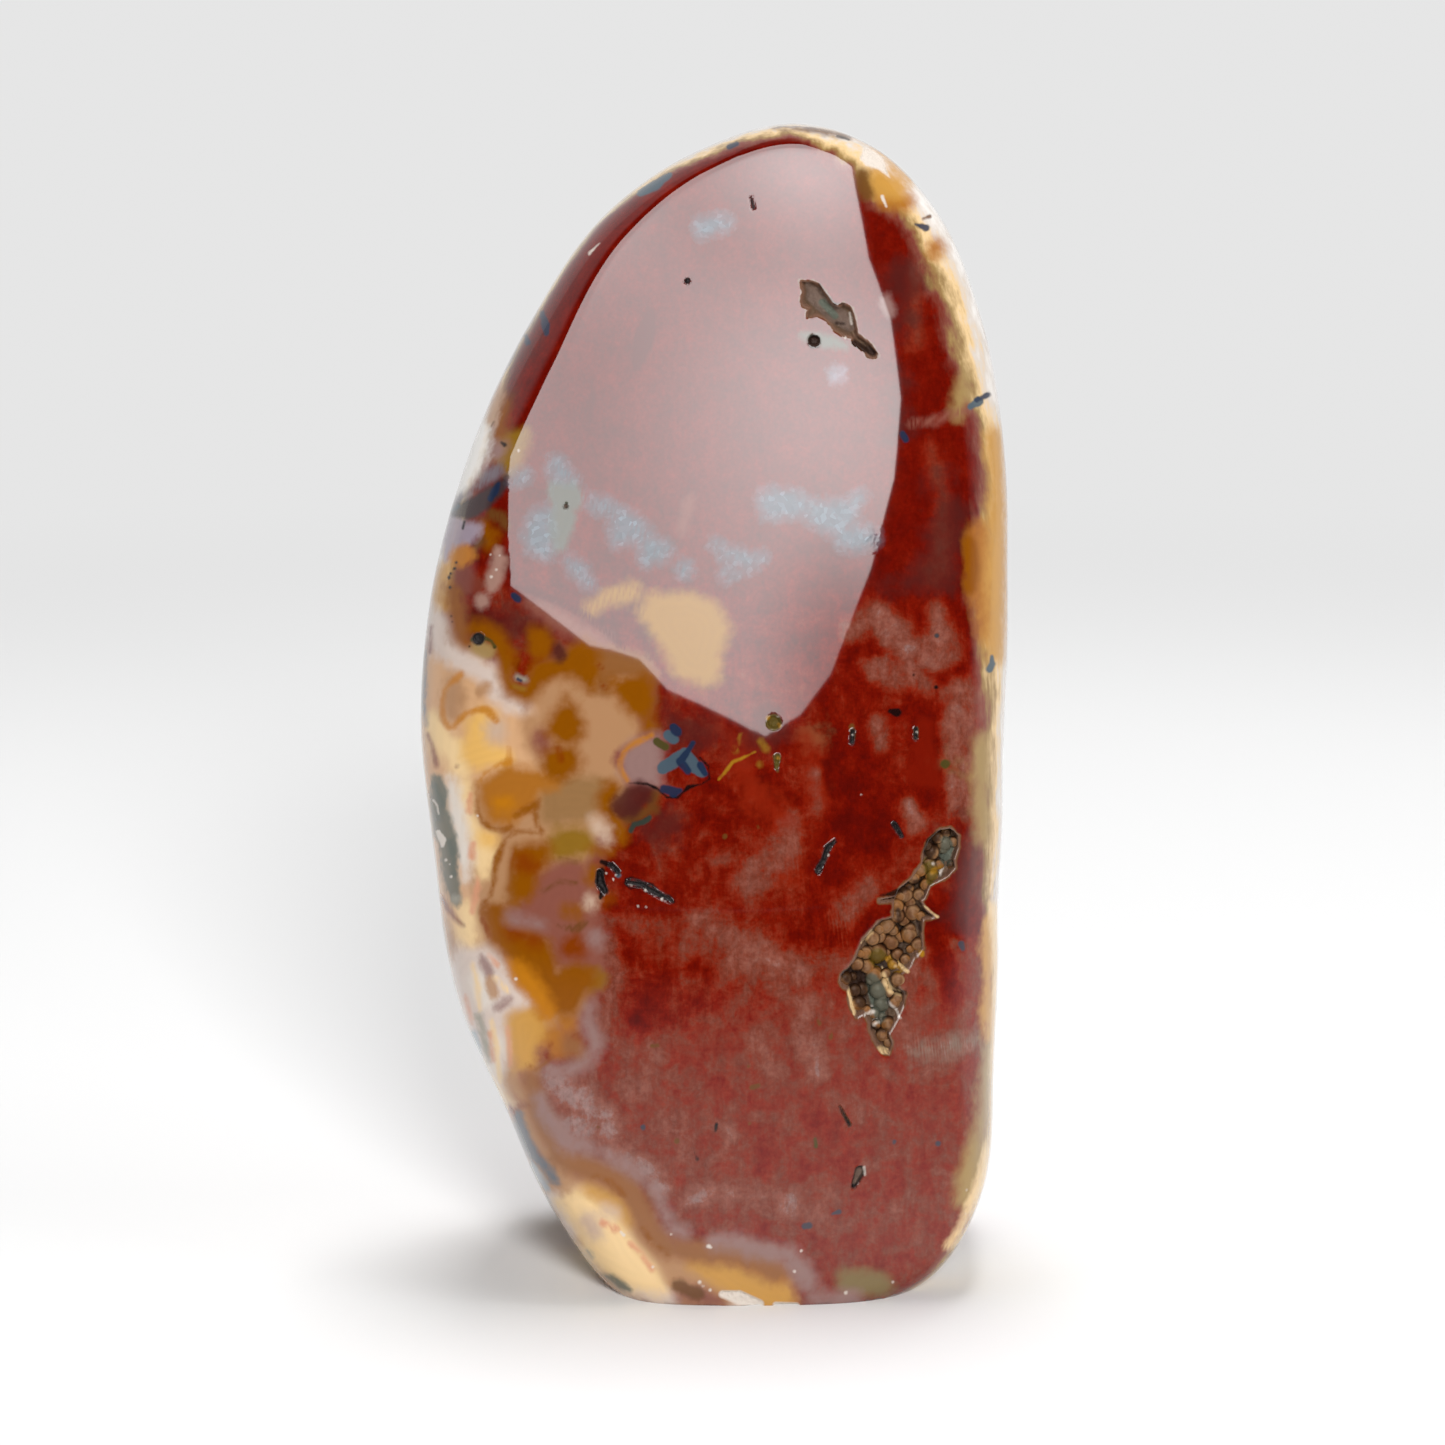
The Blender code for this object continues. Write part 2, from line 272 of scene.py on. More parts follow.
# Pits and cracks, by how far they sink into the face
PITS = {
    0.7: [
        [(12.2, 114.4, 0.75)], [(-14, 49.4, 0.45), (-13.9, 48.2, 0.6), (-13.3, 47.2, 0.4)],
        [(17.8, 13, 0.7), (17, 11.2, 0.35)], [(7.3, 67.8, 0.9)], [(-18.1, 94.2, 0.3)],
    ],
    0.35: [
        [(-3.3, 121.7, 0.45)], [(4.5, 131.9, 0.2), (4.8, 130.6, 0.25)],
        [(14.7, 53.4, 0.2), (13.8, 52.4, 0.4), (13.3, 50.9, 0.35), (12.6, 49.7, 0.35)],
        [(22, 55.3, 0.35), (22.8, 54, 0.25)],
        [(-10.5, 48.3, 0.3), (-8.8, 48, 0.35), (-7.2, 47, 0.4), (-5.3, 46, 0.25)],
        [(15.3, 20.9, 0.15), (16.5, 18.7, 0.25)], [(16.9, 66.7, 0.35), (16.8, 65.4, 0.35)],
        [(24.6, 67, 0.3), (24.6, 65.9, 0.3)], [(-28.8, 78, 0.8)], [(7.7, 63.6, 0.4), (7.6, 62.2, 0.25)],
        [(-12.6, 50.4, 0.35), (-11.8, 49.5, 0.35)],
    ],
}
# Chips: broken, unpolished places at the shoulder and the foot, by how far they sink
CHIPS = {
    0.55: [
        [(18.2, 138), (17.7, 136.6), (18.5, 135.8), (20, 135.3), (21.5, 134.2), (20.5, 136.8),
         (19.5, 137.7)],
    ],
    0.45: [
        [(1, -2, 0.5), (3, -2.4, 0.9), (5.5, -3.2, 0.6)], [(7.5, -3.3, 0.4), (10, -3.5, 0.5)],
    ],
}

# Stone, its colours: red jasper with clouds, pools and bands of chalcedony. Every mark is a chain of
# places as the camera sees them, across, up and half the mark's width, all in millimetres.
PALETTE = {
    "deep red": "#5c0c06", "red": "#6c0e04", "bright red": "#7a1607", "scarlet": "#842a18",
    "orange red": "#922610", "maroon": "#50221e", "brick": "#7e3c2c", "rust": "#7d3a2c",
    "dust": "#8e5446", "dusk": "#987670", "mauve": "#ac8678", "pearl": "#d0b29a", "white": "#e8dcd0",
    "cream": "#f8d49c", "honey": "#ce9848", "honey glow": "#a8781e", "amber": "#b06e26",
    "ochre": "#905004", "olive gold": "#826e46", "olive": "#4c4620", "brown": "#6c441e",
    "grey green": "#5c6256", "green": "#343e36", "ice": "#7a8e9c", "steel": "#485c68",
    "slate": "#42404a", "navy": "#202e48", "black": "#140e0e", "umber": "#2a180f", "taupe": "#715c50",
    "moss": "#5c4a12", "peach": "#dcac80", "bright honey": "#f0bc6a", "shell": "#dcc8bc",
    "tan": "#b98a62", "khaki": "#a88a56", "toffee": "#966036", "mustard": "#926b22",
    "dusty gold": "#946034", "gold amber": "#c47a12", "flame": "#883a06", "coral": "#e09a74",
    "lilac": "#a596a5", "smoke": "#787078", "soot": "#3a3234", "pewter": "#5e6a76", "frost": "#9ca8b0",
    "stone grey": "#a09a8a", "putty": "#82786a", "bone": "#fffaf4", "bronze": "#9c744a",
}
# The pale body on the left, from the top round its right edge and then outside the stone
PALE_BODY = [
    (-34.0, 78.0), (-31.7, 79.7), (-28.6, 77.9), (-26.2, 76.0), (-23.7, 72.7), (-20.7, 74.2),
    (-18.8, 77.3), (-15.2, 76.7), (-10.9, 76.0), (-7.6, 75.4), (-7.2, 70.5), (-7.6, 66.3),
    (-10.9, 63.2), (-9.1, 59.6), (-12.1, 54.1), (-14.0, 49.8), (-14.2, 46.7), (-15.2, 43.7),
    (-17.6, 41.9), (-16.4, 38.2), (-14.0, 35.8), (-14.6, 32.7), (-18.8, 28.4), (-21.9, 26.6),
    (-23.7, 23.5), (-22.5, 18.1), (-20.3, 15.6), (-17.6, 13.2), (-14.0, 13.8), (-10.3, 11.3),
    (-7.9, 7.7), (-1.7, 3.4), (7.4, 1.6), (10.5, -0.3), (9.2, -3.9), (0.0, -14.0), (-26.0, -8.0),
    (-42.0, 30.0), (-46.0, 60.0), (-42.0, 78.0),
]
# Width of the pale rind at places round the outline: across, up, width
RIND = [
    (10.5, 139.5, 1.6), (-12.0, 129.5, 0.6), (-24.0, 113.0, 1.0), (-29.0, 103.0, 3.0), (-33.5, 90.0, 3.0),
    (-35.5, 78.0, 2.5), (-36.0, 60.0, 2.0), (-33.0, 40.0, 2.2), (-28.0, 24.0, 2.0), (-18.0, 2.0, 2.5),
    (0.0, -5.0, 1.6), (19.0, -4.0, 1.8), (29.0, 2.0, 3.0), (33.7, 12.0, 3.2), (35.0, 30.0, 3.0),
    (35.6, 50.0, 3.6), (36.0, 70.0, 3.8), (36.2, 82.0, 4.6), (36.2, 90.0, 5.6), (35.3, 104.0, 5.0),
    (32.6, 117.0, 7.0), (28.0, 128.0, 6.5), (20.0, 136.3, 5.0),
]
# How red the jasper is, from 0, a grey-pink veil, to 1, clear red: each share with its places, and later
# ones over earlier ones
RED_SHARES = [
    (0.5, [
        [(0, -10), (-50, -10), (-50, 46), (-12, 45), (5, 40), (40, 42), (40, -10)],
    ]),
    (0.7, [
        [(-50, 44), (-10, 46), (4, 41), (22, 47), (40, 46), (40, 70), (20, 74), (-50, 82)],
    ]),
    (0.62, [
        [(-9, 39, 4.5), (-8, 34, 3.5), (-2, 36, 2.5)],
    ]),
    (0.55, [
        [(-8, 42, 2.2)], [(26.5, 86, 1.5)],
    ]),
    (0.32, [
        [(16.5, 79, 1.4), (19.5, 81, 2), (22, 79, 2.2)], [(24, 76, 2.2), (28, 77, 2.4), (27, 81.5, 1)],
        [(30, 71, 2.4), (30, 65, 2.2), (30.4, 58, 2)],
        [(18.5, 74.5, 1.6), (22, 74, 2), (26, 72.5, 1.2)],
    ]),
    (0.16, [
        [(21, 77.5, 0.2), (24.5, 77, 0.6), (27.5, 74.5, 0.4)], [(18, 79.5, 0.2), (20.5, 81.5, 0.4)],
        [(29.6, 69.5, 0.5), (30.2, 66.5, 0.4)],
    ]),
    (0.92, [
        [(14.5, 67, 1.5), (16, 63, 3.6), (17, 58, 4.2), (19.5, 53, 3)],
        [(25.2, 67, 1.2), (26, 62.5, 1.6), (26, 58.5, 1.2)],
        [(12, 49.5, 1.6), (15.5, 51, 1.2), (11.2, 45, 0.8)], [(27, 41, 0.9), (29.2, 34.5, 1.2)],
        [(-9.5, 31.5, 0.8), (-8.5, 34, 0.6)],
    ]),
    (0.76, [
        [(0, 60, 1), (4, 58.5, 2.2), (8, 60, 2)], [(0, 54, 1.6), (3, 53, 1.8)],
        [(16.8, 73.2, 1.6), (17, 69.4, 1), (14, 69.5, 0.8)], [(21.2, 70.3, 1), (23.2, 70, 0.6)],
        [(-11, 40, 1), (-7, 36.5, 1.4), (-11, 34, 1), (-3, 38, 1)],
        [(7, 42.5, 0.9), (9.5, 43, 0.8), (13, 45.5, 0.9)],
    ]),
    (0.5, [
        [(24.5, 122, 1), (24.5, 114, 1.2)], [(26.5, 101, 1), (28, 95, 1), (27.5, 87, 1.6)],
        [(-28, 85.5, 1.6), (-24, 80, 1.2)], [(-27.2, 100, 0.8), (-24.5, 108, 0.8)],
    ]),
    (0.36, [
        [(-14, 42, 1.8), (-12.5, 37, 1.2), (-14, 31, 1.4)], [(9.2, 56, 1.4), (8.5, 52, 2), (4, 48, 2)],
        [(19, 48, 1.2), (15.5, 44, 1.6)],
        [(-2, 43.5, 1.6), (5, 40, 2), (9, 36.5, 2.4), (11, 31, 1.2), (12.3, 25.5, 0.8)],
        [(-8, 26.5, 2.2), (-10.5, 23, 1.6)], [(-2, 10.3, 1.6), (5.5, 9, 1.8), (13, 8.6, 1.6)],
        [(17.5, 35, 1.4)],
    ]),
    (0.14, [
        [(20, 67.5, 0.9), (20.4, 65, 0.6)], [(12.4, 61.5, 0.5), (12.8, 57.5, 0.6)],
        [(23.6, 58, 0.7), (24.5, 55.5, 1)], [(12.6, 28.5, 0.5), (12.8, 25, 0.6)],
        [(2.4, 17.6, 0.9), (1.8, 16.4, 0.6)],
        [(-3, 9.6, 0.8), (0, 10.6, 0.7), (7, 9.8, 0.6), (9.8, 8, 0.6)], [(24.3, 10, 0.7)],
        [(24, 28, 0.4), (28, 28, 0.7), (31.5, 29, 0.7)],
    ]),
    (0.06, [
        [(-20, 24, 1.6), (-16, 22, 2), (-13, 18.5, 1.8), (-18, 18, 2)],
        [(-12.5, 15.5, 1.2), (-9, 14, 1.2), (-6.5, 11, 1)],
    ]),
]
# Wide soft tints inside the jasper
CLOUDS = {
    "maroon": [
        [(23, 124, 1.6), (23.5, 117, 1.8)], [(21.8, 108, 1.2), (23, 104, 1.6)],
        [(27.5, 98, 1.4), (28.5, 93, 2), (27.5, 87, 2), (22, 84, 1.4)],
        [(-22.5, 117, 1), (-25, 110, 1.2), (-26.2, 104, 0.8)],
        [(-29, 79.5, 1.4), (-24.5, 80, 2.6), (-21.5, 79, 1.6)],
        [(-6, 69, 1.6), (-2, 66.5, 2), (3, 65.3, 1.4), (7.5, 67.5, 2.2)],
        [(-10, 57, 1), (-8, 54, 1.2), (-5, 55.5, 1)], [(29.5, 54.5, 1.4), (30.5, 50, 2), (30, 45, 1.6)],
    ],
    "olive gold": [
        [(28.3, 62.7, 0.4)], [(12.2, 66.8, 0.7), (12.5, 65.5, 0.6)],
    ],
    "orange red": [
        [(2, 66.5, 1.2), (4, 60, 1.6), (8, 56, 1.6)], [(11.5, 66, 1.2), (13, 60, 1.2)], [(9, 49.5, 1)],
    ],
    "putty": [
        [(25, 27.8, 0.1), (28, 28, 0.3), (32, 29, 0.3)],
    ],
}
# Cloudy glows inside the pale chalcedony
BLOOMS = {
    "peach": [
        [(-34.8, 76), (-29, 75), (-26, 74), (-25, 71), (-22.5, 69.5), (-22.8, 64), (-22, 62), (-29, 60),
         (-30, 50), (-30, 41), (-34, 46), (-36, 60)], [(-20.5, 60.3, 0.8), (-17.5, 60, 0.6)],
    ],
    "shell": [
        [(-34.8, 86), (-34, 85), (-33.8, 82), (-32.6, 80), (-32.2, 78), (-31.3, 76.7), (-29.5, 75.8),
         (-28, 75), (-26.7, 74.8), (-26.2, 72.8), (-25.4, 71.2), (-23, 69.8), (-23, 68.8), (-25, 69.6),
         (-27, 71.3), (-28.5, 73.2), (-31, 74.8), (-33, 75.6), (-34.4, 77), (-35.2, 80)],
        [(-30.7, 40.5), (-28, 40.4), (-26.2, 39.6), (-25.2, 38.2), (-24.7, 36.6), (-24.5, 35.4),
         (-22.5, 34.9), (-21.9, 34), (-22.6, 33.1), (-24.5, 33), (-25.7, 32), (-25.4, 30),
         (-25.5, 27.5), (-25.6, 25), (-25.4, 22.5), (-25, 21.3), (-26.4, 20.6), (-29, 24), (-30, 27),
         (-31.2, 31), (-32.8, 37)], [(-19.8, 9.5, 0.5), (-18.2, 8, 0.7), (-17.4, 6, 0.8)],
        [(-10, -1, 0.8), (-8, -1.8, 0.7), (-5.5, -2.6, 0.4)], [(3.3, -3, 0.8)],
    ],
    "cream": [
        [(-34.2, 68, 0.7), (-33.4, 65.5, 0.9), (-31.8, 64.5, 1.1), (-31, 62, 0.9)],
        [(-30.6, 60, 0.7), (-30.2, 57, 0.7), (-29.4, 55, 0.7), (-28.3, 53.5, 0.9), (-28, 51.5, 0.8),
         (-28.3, 49.5, 0.5)], [(-30.3, 45, 0.5), (-30.2, 43, 0.8), (-29.6, 41.5, 0.8)],
        [(-18.8, 9.3), (-17, 10.2), (-15.8, 10.4), (-14, 9.4), (-12, 8.2), (-11.3, 6.8), (-10.6, 5.2),
         (-9.7, 3.7), (-8, 1.8), (-6.7, 0), (-6.4, -1.4), (-10, -1.3), (-13, 0.6), (-16, 2.5),
         (-16.3, 5), (-17.5, 7.5)], [(-28.3, 25.3, 0.3), (-26.8, 23.2, 0.3), (-25.3, 21.6, 0.3)],
        [(-30.5, 97.4, 0.5), (-29.9, 99.6, 0.4)],
    ],
    "bright honey": [
        [(-29.9, 67.8), (-28.5, 68.8), (-27.2, 68.4), (-27, 67), (-27.6, 65.6), (-26, 64.6),
         (-25.3, 63.8), (-25.5, 63), (-27, 62.8), (-29, 62.2), (-30, 63.4), (-30.2, 65)],
        [(-28, 53.8, 0.4), (-27.2, 53.5, 0.4)],
    ],
    "tan": [
        [(-31.9, 72.4, 0.7), (-31.8, 71, 1.1), (-32.1, 69.2, 0.8)],
        [(-28.3, 59.8, 0.5), (-28.2, 57.5, 0.7), (-27.4, 56, 0.6)],
        [(-24.5, 55.6, 0.6), (-22.8, 56, 0.8)], [(-22.5, 67.5, 1), (-21.8, 65.5, 1)],
        [(-24.7, 24.6, 0.7), (-24.2, 23, 0.8), (-23.3, 22.3, 0.6)],
        [(-23.2, 20, 0.4), (-22.2, 17.8, 0.6), (-21, 16, 0.6), (-19.3, 13.8, 0.7), (-18.6, 12.5, 0.7)],
        [(-5, 1, 0.8), (-3.5, 0, 0.9)],
    ],
    "bronze": [
        [(-21, 60.5), (-17, 61), (-13.5, 60), (-13.8, 57.5), (-15.5, 56), (-19, 55.6), (-20.8, 56),
         (-21, 58.5)],
    ],
    "dust": [
        [(-22.3, 49.3), (-20, 50.3), (-18, 51.4), (-15.6, 50.4), (-15, 47.5), (-14.5, 44), (-13.8, 41),
         (-13.8, 37.8), (-19.4, 38), (-20.3, 41), (-25, 43.2), (-25.2, 44.5), (-23.5, 46.3)],
        [(-21, 65.8, 0.5), (-20.6, 64.4, 0.4)],
        [(-3.5, -1.7, 0.6), (-1.5, -2.3, 0.6), (0.5, -2.8, 0.4)],
        [(-23, 82.6), (-19, 81), (-15.5, 79.3), (-13, 77.6), (-13.5, 76), (-16, 76.8), (-20, 80)],
    ],
    "mustard": [
        [(-19.8, 53.2), (-19, 54.6), (-16.5, 55), (-15, 54.3), (-14.5, 53), (-14.7, 52.2), (-16, 51.7),
         (-18.5, 51.3), (-20, 51.7)], [(-15.2, 36.2, 0.5), (-14.3, 36.4, 0.4)],
        [(-26, 102.6), (-23.2, 103), (-23.8, 101), (-24.5, 99), (-25.2, 98.3), (-26.4, 99.8),
         (-26.3, 101)],
    ],
    "amber": [
        [(-28.6, 60.3), (-27.3, 61.4), (-25, 62), (-22, 61.8), (-19.5, 60.9), (-19.5, 60),
         (-21.8, 59.5), (-22.2, 58.5), (-24, 57), (-25, 55.8), (-27, 55.8), (-28.2, 57.3)],
        [(-21.3, 29.4, 0.8), (-19.6, 29.6, 1), (-19, 28.2, 0.8)], [(-18, 31, 0.9)],
        [(2.8, 2, 1.1), (5, 1, 1.2), (7, -0.2, 1.2)],
        [(32.7, 91, 0.9), (32.9, 87.5, 1.3), (33.1, 84, 1.2), (33.5, 79, 0.7)],
        [(21.5, 131.5, 0.9), (23, 131.3, 0.7)], [(27, 125.5, 0.6)],
    ],
    "honey": [
        [(-24.8, 31.8), (-22, 32.6), (-20.8, 31.4), (-21.3, 29.5), (-22, 27.5), (-21.8, 25.7),
         (-23.8, 25.7), (-24.6, 28)],
        [(-15, 10.6, 0.5), (-12.5, 9.8, 0.8), (-11, 9, 0.8), (-10.5, 7.3, 0.6)],
        [(-33, 86.4, 0.4), (-33.3, 85, 0.5), (-33.4, 83.5, 0.5), (-32.7, 82.2, 0.4)],
        [(-2, 2, 1), (0.5, 1.5, 1.7), (2.5, -0.2, 1.7), (6, -1.5, 1.7), (8, -2.3, 1.3)],
        [(34.2, 103, 0.8), (34.6, 97, 0.7), (34.6, 90, 0.9), (34.5, 82, 0.9), (34.6, 76, 0.6)],
        [(20, 133.7, 1.1), (21.8, 133, 1)],
    ],
    "toffee": [
        [(-19.3, 14.8, 0.6), (-16, 13.8, 1), (-13.5, 12.5, 1), (-10.8, 11, 1.1), (-9, 8.5, 1.2),
         (-8, 6, 1.2), (-6, 3.8, 1), (-3, 3.2, 1), (0, 3, 0.9), (4, 2.4, 0.9), (7.5, 0.8, 0.9)],
        [(-22.3, 24, 0.8), (-21.8, 22.3, 0.6), (-21.5, 20.5, 0.6), (-20.8, 18.3, 0.6),
         (-19.8, 16.3, 0.5)], [(-17.4, 28.4, 0.9), (-16.3, 27.4, 0.6)],
    ],
    "dusty gold": [
        [(-14.8, 76.5), (-12.8, 76.3), (-8.3, 75.8), (-8, 73.6), (-12.7, 73.2), (-12.9, 71.5),
         (-14.3, 71.6)], [(-24.8, 52.4, 0.4), (-24.6, 49.5, 0.5), (-24.6, 46.6, 0.5)],
    ],
    "ochre": [
        [(-22.3, 73.9), (-21, 74.8), (-19.5, 75.1), (-18.4, 75.8), (-17.6, 76.8), (-16.8, 77.6),
         (-16, 78), (-15, 77.2), (-14.4, 76), (-14.3, 74), (-14.6, 72.6), (-15, 71.8), (-15.6, 72.3),
         (-16.2, 73.1), (-17, 73.7), (-18.2, 73.9), (-19.5, 73.7), (-20.6, 73.3), (-21.4, 72.6),
         (-21.9, 71.7), (-22.4, 70.7), (-22.8, 70.3), (-24, 70.7), (-25, 71.2), (-25.6, 72.2),
         (-26, 73.2), (-26.2, 74.5), (-26, 76), (-25.4, 76.8), (-24.8, 76), (-24.8, 74.5), (-24.6, 73),
         (-24, 72.2), (-23.2, 72), (-22.6, 72.8)], [(-21.4, 78.2, 0.8), (-21, 77, 1)],
        [(-12.6, 73.2), (-7.8, 73.4), (-7.5, 70), (-7.5, 67), (-8.3, 66.8), (-8.7, 67.9), (-10.3, 69.3),
         (-11.3, 70.4), (-12.3, 71.5)],
        [(-31.7, 84, 0.4), (-31.6, 82, 0.4), (-31.3, 80, 0.5), (-30.9, 78.3, 0.6), (-30.4, 77.7, 0.4)],
        [(-31, 78.9, 0.4), (-29.5, 79.2, 0.3), (-28, 79.1, 0.4), (-26.8, 78.4, 0.5), (-26, 77, 0.55),
         (-25.6, 75.5, 0.5), (-25.6, 74.3, 0.5)],
        [(-18, 70.7), (-16.9, 69.2), (-16.1, 67.8), (-16.6, 66.3), (-18, 65.3), (-19.3, 65.9),
         (-20, 66.7), (-19.3, 68.6)],
        [(-20.5, 63.8), (-19.2, 64.6), (-17.3, 64.5), (-16.5, 63.3), (-17, 62), (-18.3, 61.2),
         (-20, 61.5), (-20.8, 62.6)],
        [(-12.4, 59.6, 0.4), (-13.2, 58.3, 0.6), (-13.1, 56.8, 0.7), (-12.2, 55.3, 0.7),
         (-11.6, 53.8, 0.5)], [(-13, 52.3, 0.4), (-14.6, 52.2, 0.4)],
        [(-24.6, 52.4), (-23, 53), (-20.7, 52.8), (-20.2, 51.5), (-20.7, 50), (-21.6, 49), (-22, 47.5),
         (-22.8, 46.4), (-24.3, 46.2), (-24.6, 47.5), (-24.3, 49.5), (-24.6, 51)],
        [(-14.8, 50.1, 0.4), (-15, 48.8, 0.4)], [(-18.2, 44.8, 0.4), (-16.8, 44.8, 0.6)],
        [(-28.1, 44.6), (-27, 45.3), (-26.2, 44.8), (-25.4, 43.5), (-24.5, 42.5), (-22, 42.1),
         (-20.5, 41), (-20, 39), (-19.2, 37.3), (-17, 37.8), (-15.2, 37.3), (-14.6, 36.3), (-15.8, 35),
         (-17, 32.7), (-19, 31.9), (-20.5, 32.2), (-21.5, 34), (-23.3, 36), (-24.4, 37.6),
         (-25.7, 39.4), (-27.2, 41.2), (-27.8, 43)],
        [(-26, 107.2, 0.25), (-25.9, 105.3, 0.3), (-26.4, 103.8, 0.4), (-26.6, 102.8, 0.4)],
        [(-28.2, 91.4, 0.5), (-27.6, 90.6, 0.6), (-27.4, 89.8, 0.4)],
    ],
    "flame": [
        [(-23.3, 50.8, 0.8), (-22.1, 50.3, 0.6)], [(-24.6, 42, 0.4), (-22, 41.3, 0.6)],
        [(-17.7, 40.4, 0.5), (-16.6, 40.6, 0.9), (-15.7, 40.4, 0.3)],
        [(-13.7, 46, 0.4), (-12.9, 46.4, 0.3)],
    ],
    "gold amber": [
        [(-24.5, 38.2, 0.4), (-23, 36.4, 0.7), (-21.6, 34.6, 0.7), (-20.4, 33, 0.6), (-20, 31.9, 0.4)],
        [(-26.2, 57.9, 0.4), (-25.5, 58, 0.4)],
    ],
    "olive gold": [
        [(16.5, -0.4, 1), (20, -0.8, 1)],
    ],
    "dusk": [
        [(-15.1, 33, 0.23), (-15.6, 31, 0.27), (-14.3, 28.8, 0.41), (-15.5, 26.6, 0.32),
         (-17.5, 25.4, 0.32), (-19.5, 25.2, 0.36), (-20.8, 25.6, 0.18)],
        [(-21.2, 22, 0.21), (-20.6, 20, 0.24), (-19.6, 18.3, 0.32), (-18.2, 16.8, 0.41),
         (-16, 16, 0.41), (-13.5, 15.2, 0.16), (-10.5, 13.6, 0.13), (-8.3, 12, 0.13), (-7, 10.3, 0.13),
         (-6.2, 8, 0.13), (-5.4, 6.2, 0.11), (-3.5, 5.4, 0.09)],
        [(-10.9, 64), (-9.8, 65), (-8, 65.7), (-7, 65.8), (-6.9, 60.3), (-9, 60.4), (-10.2, 60.9),
         (-11, 62)], [(-26.6, 101, 0.6)], [(-24.6, 43.8, 0.14), (-22.5, 43.3, 0.18), (-21, 43, 0.14)],
        [(-14.4, 41.3, 0.7)],
        [(0, 4.6, 0.41), (3, 4.3, 0.5), (6, 3.4, 0.54), (9, 2.8, 0.59), (10.5, 1, 0.59),
         (11.5, -0.8, 0.54)], [(12.5, -2.6, 0.45), (17, -2.7, 0.45)],
    ],
    "pearl": [
        [(-14.5, 55.6, 0.4), (-13.9, 54.5, 0.6), (-13.4, 53.6, 0.4)],
        [(-15.5, 6.8, 0.7), (-14.7, 5.6, 0.5)], [(-12.9, 8.3, 0.4), (-12.3, 7.9, 0.4)],
        [(-26.6, 66.6, 1)], [(-15.2, 45.8, 0.4)],
    ],
    "white": [
        [(-32.1, 60.5, 0.4), (-31.7, 57.5, 0.4), (-31, 55.3, 0.4), (-30.6, 52, 0.4), (-30.4, 49, 0.3)],
        [(-26.6, 28.5, 0.5), (-26.8, 25.6, 0.4)], [(-29, 36.5, 0.5), (-28, 34, 0.5)],
    ],
    "bone": [
        [(-27, 110.5, 0.3), (-28.2, 106, 0.6), (-29.2, 102, 1), (-30, 98.8, 1.3), (-31, 96.4, 0.8)],
    ],
    "lilac": [
        [(15, 110.3, 0.3)],
    ],
    "honey glow": [
        [(-7.3, 83.3), (-8.7, 81.3), (-7.3, 78), (-4, 74), (-1.3, 72.3), (0.3, 73.3), (0.7, 76.7),
         (1.3, 79.3), (0, 82), (-2.7, 83.3)], [(-15, 81.8, 0.5), (-12.5, 83.3, 0.6), (-10, 83.8, 0.5)],
    ],
    "khaki": [
        [(30.4, 110, 0.3), (29.7, 105.5, 0.4)], [(32.8, 66, 0.2), (32.6, 60, 0.4), (32.8, 54, 0.2)],
        [(33.8, 30), (33.2, 26), (32.6, 21.5), (31.5, 16.5), (30.2, 12), (29.7, 9.5), (30.8, 9),
         (32.4, 13), (33.4, 19), (34, 25)],
    ],
}
